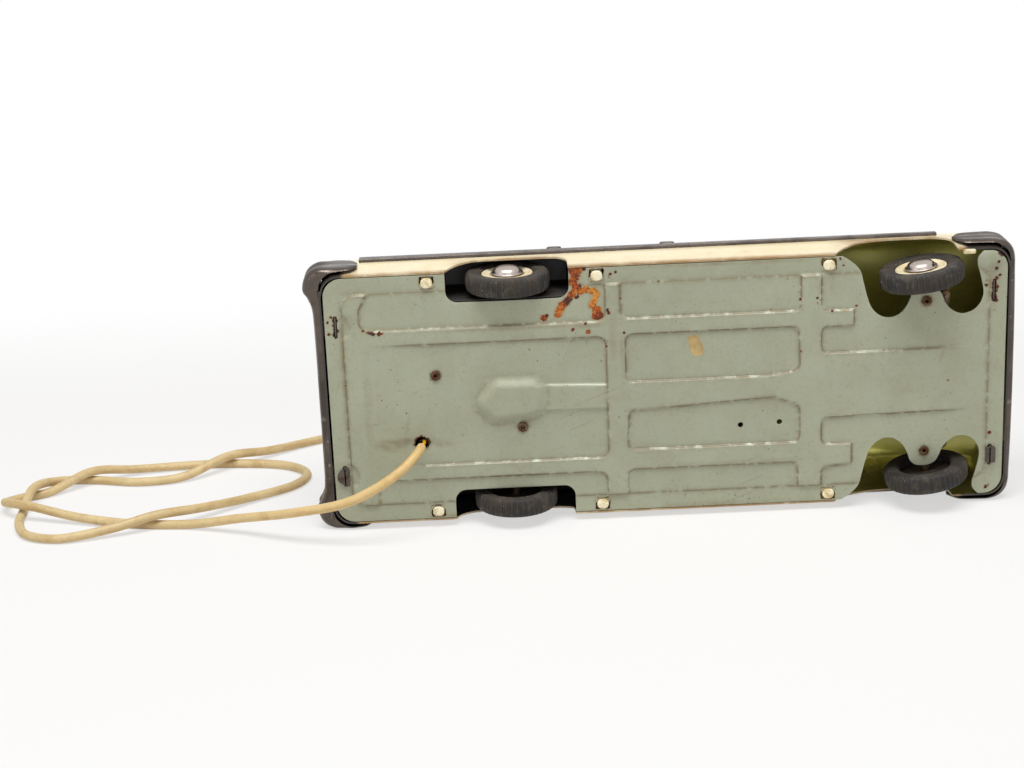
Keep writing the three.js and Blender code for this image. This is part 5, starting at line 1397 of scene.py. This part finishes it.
def bumper_bar(end):
    run = bumper_run(end)
    lines = [smooth_outline([(k * 10, row[n] * 10) for k, row in enumerate(run)], 1)
             for n in range(6)]
    tables = [[(a / 10, b / 10) for a, b in line] for line in lines]
    along = 132
    rings = []
    for j in range(along + 1):
        s = (len(run) - 1) * j / along
        x, z, nx, nz, thick, rise = [between(table, s) for table in tables]
        size = math.hypot(nx, nz)
        nx, nz = nx / size, nz / size
        wrap = min(1.0, max(0.0, (abs(z) - 44) / 9))
        ring = []
        for k in range(25):
            v = 2 * k / 24 - 1
            envelope = (1 - abs(v) ** 7) ** 0.4 * 0.94 + 0.06
            two = 1 - 0.16 * (1 + math.cos(2 * math.pi * v)) / 2
            three = 1 - 0.3 * (1 - math.cos(3 * math.pi * v)) / 2
            ridge = two if end == "rear" else two * (1 - wrap) + three * wrap
            reach = thick * envelope * ridge
            ring.append((x + nx * reach, 10 + 8.8 * rise * v, z + nz * reach))
        for k in range(1, 8):
            v = 1 - 2 * k / 8
            ring.append((x, 10 + 8.2 * rise * v, z))
        rings.append(ring)
    total = len(rings[0])
    return skin(f"{end}_bumper", total, along, lambda i, j: at(*rings[j][i % total]), close_holes)


def bumper_tabs(end):
    x, z = FIXINGS[end]
    wall = BODY_REAR - 0.7 if end == "rear" else BODY_FRONT + 0.7
    pieces = []
    for sign in (1, -1):
        middle = sign * z
        low, high = sorted((x, wall))
        pieces.append(prism("arm", [(low, 3), (high, 3), (high, 3.8), (low, 3.8)], middle - 4.5,
                            middle + 4.5, at))
        bottom = 0.5 if sign > 0 else -1.1
        pieces.append(prism("leg", [(x - 0.4, bottom), (x + 0.4, bottom), (x + 0.4, 3.8),
                                    (x - 0.4, 3.8)], middle - 4.5, middle + 4.5, at))
        if sign > 0:
            continue
        if end == "rear":
            head = [(-72 - 5.4 * math.sin(k * math.pi / 14),
                     middle + 4.2 * math.cos(k * math.pi / 14)) for k in range(15)]
        else:
            head = round_outline(205, 209.2, middle - 3.6, middle + 3.6, 0.6, 3)
        pieces.append(prism("head", head, -1.1, -0.35, upward))
    return pieces


class SALOON_OT_bumpers(bpy.types.Operator):
    """Form both bumpers with their fixing tabs"""

    bl_idname = "saloon.bumpers"
    bl_label = "Bumpers"

    def execute(self, context):
        plating = dark_plating()
        for end in ("rear", "front"):
            tabs = join("fixings", *bumper_tabs(end))
            round_edges(tabs, 0.12, 2)
            bar = join(f"{end}_bumper", bumper_bar(end), tabs)
            dress(bar, plating, stands_for=[f"{end}_bumper"], slot="plating", angle=50)
        return {"FINISHED"}


def lens(name, color, deep):
    return clouded(name, (90, 0.35, 0.7), (color, deep), (0.12, 0.25), (500, 2, 0.1, 0.1),
                   Coat_Weight=0.5, Coat_Roughness=0.08, Subsurface_Weight=0.1)


def paint_coat(name, color, deep):
    return clouded(name, (50, 0.35, 0.7), (color, deep), (0.36, 0.55), (400, 3, 0.2, 0.1),
                   (300, 0.35, 0.6, scaled(deep, 0.4)))


def bright_metal(name, color, low=0.1, high=0.28, dirt=ink(70, 56, 40), dots=0.4):
    """A metal finish with cloudy polish, pits and scratches."""
    draw = Finish(name, metal=1.0)
    cloud, pits = draw.cloud(80, 0.35, 0.72), draw.dots(420, dots)
    draw.base = draw.mix(draw.times(cloud, 0.6), color, scaled(color, 0.6))
    draw.over(pits, 0.8, dirt)
    rough = draw.math("ADD", draw.blend(cloud, low, high), draw.times(draw.marks(60, 0.4), 0.2))
    return draw.done(rough, (draw.grain(600), 0.12, 0.08), (pits, 0.4, 0.1))


class SALOON_OT_trim(bpy.types.Operator):
    """Fit strips, handles, lamps, grille, seats and steering wheel"""

    bl_idname = "saloon.trim"
    bl_label = "Trim and Lamps"

    def execute(self, context):
        plating = bpy.data.materials["dark_plating"]
        for side in SIDES:
            softened(f"trim_strip_{side}", plating, "plating", 0.35, 3)
            self.taper(bpy.data.objects[f"trim_strip_{side}.001"])
            softened(f"door_handle_front_{side} door_handle_rear_{side}", plating, "plating",
                     0.4, 3)
        self.lamps()
        softened("grille", bright_metal("lamp_chrome", ink(214, 210, 202)), "chrome", 0.2)
        red = paint_coat("seat_paint", ink(150, 52, 38), ink(104, 30, 24))
        softened("seat_insert", red, "seat_paint", 1.6, 4)
        cream = paint_coat("wheel_plastic", ink(226, 214, 182), ink(196, 178, 138))
        softened("steering_wheel", cream, "handset_plastic")
        return {"FINISHED"}

    def taper(self, strip):
        """Draws the strip's lower edge up, more toward the nose."""
        high = (CAR.y + 20.6) * MM
        for vert in strip.data.vertices:
            share = (vert.co.x / MM - CAR.x + 63.2) / 248.8
            vert.co.y = high - (high - vert.co.y) * (0.66 - 0.3 * share)

    def lamps(self):
        profile = [(0, 0), (7.2, 0), (7.2, 1.4), (7, 2), (6.6, 2.3), (6.2, 2.2), (5.9, 1.8),
                   (5.6, 1.85), (5, 2.1), (4, 2.35), (2.6, 2.52), (1.2, 2.59), (0, 2.6)]
        seat_x, seat_y, seat_z = BODY_FRONT + 0.3, 27, 39.5
        right = turned("headlamp_right", profile, 40,
                       lambda u, v, h: at(seat_x + h, seat_y + u, seat_z + v))
        right.data.materials.append(lens("clear_lens", ink(236, 232, 216), ink(208, 198, 170)))
        right.data.materials.append(bright_metal("lamp_rim", ink(206, 200, 190)))
        middle = at(seat_x, seat_y, seat_z)
        for face in right.data.polygons:
            away = math.hypot(face.center.y - middle.y, face.center.z - middle.z)
            face.material_index = 1 if away > 5.75 * MM else 0
        for piece, side in ((right, "right"), (mirrored(right, "headlamp_left"), "left")):
            dress(piece, None, stands_for=[f"headlamp_{side}"], slot="clear_lens", angle=50)
        red = lens("red_lens", ink(176, 26, 20), ink(110, 10, 8))
        softened("tail_lamp_right tail_lamp_left", red, "red_lens", 0.7, 4)


# Wheels


def rubber():
    """Grey-black rubber with dry dust and a few pale specks."""
    draw = Finish("rubber", Specular_IOR_Level=0.35)
    cloud = draw.cloud(90, 0.3, 0.7)
    draw.base = draw.mix(cloud, colors().rubber, ink(64, 57, 48))
    draw.over(draw.cloud(210, 0.48, 0.68), 0.35, ink(104, 98, 88))
    draw.over(draw.dots(460, 0.3), 0.8, ink(206, 200, 186))
    return draw.done(draw.blend(cloud, 0.55, 0.78), (draw.grain(700, 4), 0.3, 0.12))


def disc_enamel():
    """Cream enamel with a brown ring where dirt collects about the cap, and a dark back face for
    dirt and painted shade.
    """
    draw = Finish("disc_enamel", Coat_Weight=0.3, Coat_Roughness=0.2)
    cloud = draw.cloud(110, 0.3, 0.7)
    draw.base = draw.mix(cloud, ink(250, 238, 206), ink(232, 212, 166))
    ring = draw.times(draw.attribute("dirt"), draw.cloud(160, 0.2, 0.6))
    draw.over(ring, 0.85, ink(104, 66, 40))
    # Dark back face: dirt and painted shade of the wheel's hollow.
    draw.over(draw.step(draw.attribute("back_dirt_and_shade"), 0.3, 0.7), 1, ink(40, 33, 27))
    draw.over(draw.dots(420, 0.4), 0.7, ink(96, 66, 40))
    return draw.done(draw.blend(ring, draw.blend(cloud, 0.28, 0.42), 0.7),
                     (draw.grain(500), 0.15, 0.1))


def wheel_places():
    """Where each wheel goes, with the body it turns with."""
    places = {}
    for side, sign in (("right", 1), ("left", -1)):
        flip = Matrix.Diagonal((1, 1, sign, 1))
        rear = Matrix.Translation(at(0, AXLE_RISE, sign * WHEEL_MIDDLE))
        places[f"rear_{side}"] = (rear @ flip, "rear_wheels")
        pin = Matrix.Translation(at(WHEELBASE, 0, sign * KINGPIN))
        turn = Matrix.Rotation(-STEER, 4, "Y")
        hub = metres(0, FRONT_RISE, sign * FRONT_OUT)
        front = pin @ turn @ Matrix.Translation(hub)
        places[f"front_{side}"] = (front @ flip, f"front_wheel_{side}")
    return places


def tyre_form():
    half = [(11.35, 3.2), (11.9, 3.6), (12.6, 3.95), (13.4, 4.1), (14.3, 4.02), (15, 4.04),
            (15.9, 4.1), (16.5, 4), (17, 3.78), (17.4, 3.4), (17.75, 2.9), (17.98, 2), (18.1, 0.8)]
    profile = half + [(r, -z) for r, z in half[::-1]]
    profile.append(profile[0])
    ribs = sizes().tread_ribs
    steps = ribs * 6
    shape = [0, 0.15, 1, 1, 1, 0.15]

    def place(i, j):
        radius, height = profile[j]
        angle = 2 * math.pi * (i % steps) / steps
        tread = min(1.0, max(0.0, (radius - 16.6) / 0.9))
        radius -= 0.6 * tread * (1 - shape[i % 6])
        return metres(radius * math.cos(angle), radius * math.sin(angle), height)

    return skin("tyre_form", steps, len(profile) - 1, place)


class SALOON_OT_wheels(bpy.types.Operator):
    """Model one tyre, disc and cap, and set them on all four wheels"""

    bl_idname = "saloon.wheels"
    bl_label = "Wheels"

    def execute(self, context):
        black, cream = rubber(), disc_enamel()
        chrome = bright_metal("cap_chrome", ink(192, 180, 172), low=0.2, high=0.4, dots=0.5)
        tyre = tyre_form()
        disc = turned("disc_form", [
            (1.8, -1), (10.4, -1), (10.9, -0.7), (11, -0.2), (11, 2.7), (10.85, 3.1), (10.5, 3.3),
            (10, 3.3), (9.6, 3.05), (9.2, 2.65), (8.7, 2.55), (8, 2.6), (7.6, 2.6), (7.1, 2.6),
            (1.8, 2.6), (1.8, -1),
        ], 64, metres)
        dirt = disc.data.attributes.new("dirt", "FLOAT", "POINT")
        # Marks the disc's back face, darkened for dirt and painted shade.
        back_dirt_and_shade = disc.data.attributes.new("back_dirt_and_shade", "FLOAT", "POINT")
        for k, vert in enumerate(disc.data.vertices):
            radius = math.hypot(vert.co.x, vert.co.y) / MM
            back_dirt_and_shade.data[k].value = float(vert.co.z < 0)
            inner = radius < 7.1
            dirt.data[k].value = 1.0 if inner else max(0.0, 1 - (radius - 7.1) / 0.8)
        cap = turned("cap_form", [
            (0, 2.9), (6.7, 2.9), (6.9, 3.05), (6.9, 3.3), (6.7, 3.5), (6.35, 3.52), (6.1, 3.4),
            (5.98, 3.6), (5.85, 4.1), (5.5, 4.7), (4.9, 5.25), (4, 5.7), (2.8, 6.02), (1.4, 6.17),
            (0, 6.2),
        ], 56, metres)
        for name, (matrix, body) in wheel_places().items():
            for form, node, paint, slot, angle in (
                    (tyre, "tyre", black, "tyre", 32),
                    (disc, "wheel_disc", cream, "disc_paint", 35),
                    (cap, "hub_cap", chrome, "chrome", 45)):
                piece = copied(form, f"{node}_{name}", matrix)
                dress(piece, paint, body, [f"{node}_{name}"], slot, angle)
        for form in (tyre, disc, cap):
            bpy.data.objects.remove(form, do_unlink=True)
        return {"FINISHED"}


# Running gear and drive


def rusty_steel():
    """Dull steel with brown rust in patches."""
    draw = Finish("rusty_steel", metal=0.85)
    cloud, grain = draw.cloud(170, 0.36, 0.56), draw.grain(700, 4, 0.7)
    draw.base = draw.mix(grain, ink(128, 118, 98), ink(92, 80, 62))
    draw.over(cloud, 0.85, draw.mix(grain, ink(58, 36, 22), ink(112, 68, 34)))
    return draw.done(draw.blend(cloud, 0.34, 0.8), (grain, 0.3, 0.12))


def rivet(name, x, z):
    """A hollow rivet with a rolled head on the outer face of the plate."""
    low = -1.2
    profile = [(0, low + 1.5), (0.8, low + 1.5), (0.85, low + 0.35), (1.05, low + 0.08),
               (1.4, low), (1.8, low + 0.08), (2.05, low + 0.3), (2.1, low + 0.55),
               (1.9, low + 0.7), (1.4, low + 0.7), (1.4, 3.4), (0, 3.4)]
    return turned(name, profile, 32, lambda u, v, h: at(x + u, h, z + v))


class SALOON_OT_running_gear(bpy.types.Operator):
    """Rivets, knuckles, tie rod, bridge, magnet, axle, gears and motor"""

    bl_idname = "saloon.running_gear"
    bl_label = "Running Gear and Drive"

    def execute(self, context):
        steel = rusty_steel()
        brass = bright_metal("dull_brass", ink(186, 148, 84), 0.25, 0.45, ink(60, 40, 20))
        black = clouded("well_black", (60, 0.35, 0.7), (ink(18, 15, 13), ink(32, 26, 20)),
                        (0.4, 0.6), (300, 3, 0.2, 0.15), (300, 0.4, 0.6, ink(110, 78, 46)))
        for k, (x, z) in enumerate(BRACKET_RIVETS):
            node = f"bracket_rivet_{k + 1}"
            dress(rivet(node, x, z), steel, stands_for=[node], slot="steel", angle=40)
        for side in SIDES:
            softened(f"kingpin_{side}", steel, "steel", 0.18, 3)
            softened(f"knuckle_{side}", steel, "steel", 0.2, body=None)
            softened(f"wheel_well_{side}", black, "black_paint")
        softened("tie_rod", steel, "steel", 0.2, body=None)
        softened("front_bridge", steel, "steel", 0.2)
        softened("rear_axle", steel, "steel", 0.2, body="rear_wheels")
        softened("motor", steel, "steel")
        softened("motor_bracket", steel, "steel", 0.15)
        softened("steering_magnet", brass, "brass", 0.2)
        softened("axle_gear", brass, "brass", 0.08, body="rear_wheels")
        softened("motor_pinion", brass, "brass", 0.06, body="pinion")
        return {"FINISHED"}


# Handset

HANDSET_Y = 119.4
SCREW_X = 26


def case_plastic():
    """Old cream plastic with brown specks and pale scratches."""
    draw = Finish("case_plastic", Coat_Weight=0.2, Coat_Roughness=0.25)
    tone = colors().handset
    cloud, marks = draw.cloud(28, 0.3, 0.72), draw.marks(40, 0.4)
    draw.base = draw.mix(cloud, tone, scaled(tone, 0.93, 0.88, 0.76))
    draw.over(draw.dots(300, 0.34), 0.6, ink(120, 92, 60))
    draw.over(marks, 1, ink(236, 228, 206))
    return draw.done(draw.blend(cloud, 0.3, 0.42), (draw.grain(160), 0.1, 0.15),
                     (marks, 0.3, 0.05))


def case_half(name, rows):
    """A case half from rows of (inset, height), outside first and then inside."""
    def ring(shift, height):
        outline = round_outline(-64 + shift, 34 - shift, 96.4 + shift, 142.4 - shift,
                                max(9 - shift, 1.2), 10)
        return [metres(x, y, height) for x, y in outline]

    rings = [ring(*row) for row in rows]
    total = len(rings[0])
    return skin(name, total, len(rings) - 1, lambda i, j: rings[j][i % total], close_holes)


class SALOON_OT_handset(bpy.types.Operator):
    """Mould the handset's case and fit its controls, cells and contacts"""

    bl_idname = "saloon.handset"
    bl_label = "Handset"

    def execute(self, context):
        case = case_plastic()
        dark = clouded("dark_plastic", (70, 0.35, 0.7), (ink(84, 70, 60), ink(58, 48, 42)),
                       (0.3, 0.48), (500, 3, 0.15, 0.08), (380, 0.35, 0.5, ink(170, 156, 132)))
        tray = case_half("handset_tray", [
            (7, 0), (2.4, 0), (1.5, 0.12), (0.75, 0.5), (0.25, 1.1), (0.04, 1.8), (0, 2.4),
            (0, 16.7), (0.15, 17), (1.65, 17), (1.8, 16.8), (1.8, 1.8), (7, 1.8)])
        inlet = disc_outline(HANDSET_Y, 10.4, 3.3)
        cut(tray, prism("inlet", inlet, -70, -60, lambda a, b, h: metres(h, a, b)),
            prism("screw_hole", disc_outline(SCREW_X, HANDSET_Y, 3.3), -1, 1.7, metres),
            prism("shank_hole", disc_outline(SCREW_X, HANDSET_Y, 1.8), -3, 4, metres))
        boss = prism("boss", disc_outline(SCREW_X, HANDSET_Y, 3.4), 1.7, 16.7, metres)
        cut(boss, prism("hole", disc_outline(SCREW_X, HANDSET_Y, 1.8), -3, 20, metres))
        cut(tray, boss, operation="UNION")
        dress(tray, case, stands_for=["handset_tray"], slot="handset_plastic")
        cover = case_half("handset_cover", [
            (7, 27), (2.4, 27), (1.5, 26.88), (0.75, 26.5), (0.25, 25.9), (0.04, 25.2), (0, 24.6),
            (0, 17.6), (0.15, 17.3), (1.65, 17.3), (1.8, 17.5), (1.8, 25.2), (7, 25.2)])
        slot = round_outline(-44.8, -31.2, HANDSET_Y - 2.8, HANDSET_Y + 2.8, 2.7)
        cut(cover, prism("slot", slot, 20, 30, metres),
            prism("stem_hole", disc_outline(6, HANDSET_Y, 3.5), 20, 30, metres))
        dress(cover, case, stands_for=["handset_cover"], slot="handset_plastic")
        softened("drive_slider", dark, "knob_plastic", 0.5, 3, body=None)
        softened("steering_knob", dark, "knob_plastic", 0.35, body=None)
        softened("cord_gland", dark, "knob_plastic")
        softened("handset_screw", bpy.data.materials["rusty_steel"], "steel", 0.15)
        wrap = paint_coat("cell_wrap", ink(62, 92, 122), ink(42, 62, 86))
        softened("battery_1 battery_2", wrap, "cell_wrap")
        softened("contact_front contact_rear", bpy.data.materials["dull_brass"], "brass", 0.1)
        return {"FINISHED"}


# Registration

STEPS = [
    SALOON_OT_stage, SALOON_OT_cord, SALOON_OT_base_plate, SALOON_OT_body, SALOON_OT_bumpers,
    SALOON_OT_trim, SALOON_OT_wheels, SALOON_OT_running_gear, SALOON_OT_handset,
]


class SALOON_PT_panel(bpy.types.Panel):
    """Sizes, colours and steps of the saloon"""

    bl_idname = "SALOON_PT_panel"
    bl_label = "Tin Toy Saloon"
    bl_space_type = "VIEW_3D"
    bl_region_type = "UI"
    bl_category = "Tin Saloon"

    def draw(self, context):
        layout = self.layout
        for label, settings in (("Sizes", context.scene.saloon_sizes),
                                ("Colours", context.scene.saloon_colors)):
            box = layout.box()
            box.label(text=label)
            for key in settings.__annotations__:
                box.prop(settings, key)
        box = layout.box()
        box.label(text="Steps")
        for step in STEPS:
            box.operator(step.bl_idname)


CLASSES = [SaloonSizes, SaloonColors, *STEPS, SALOON_PT_panel]


def register():
    for cls in CLASSES:
        bpy.utils.register_class(cls)
    bpy.types.Scene.saloon_sizes = bpy.props.PointerProperty(type=SaloonSizes)
    bpy.types.Scene.saloon_colors = bpy.props.PointerProperty(type=SaloonColors)


def unregister():
    del bpy.types.Scene.saloon_colors
    del bpy.types.Scene.saloon_sizes
    for cls in reversed(CLASSES):
        bpy.utils.unregister_class(cls)


def main():
    register()
    for make in (specks_group, scratches_group, patches_group):
        make()
    bpy.ops.saloon.stage()
    bpy.ops.saloon.cord()
    bpy.ops.saloon.base_plate()
    bpy.ops.saloon.body()
    bpy.ops.saloon.bumpers()
    bpy.ops.saloon.trim()
    bpy.ops.saloon.wheels()
    bpy.ops.saloon.running_gear()
    bpy.ops.saloon.handset()


if __name__ == "__main__":
    main()
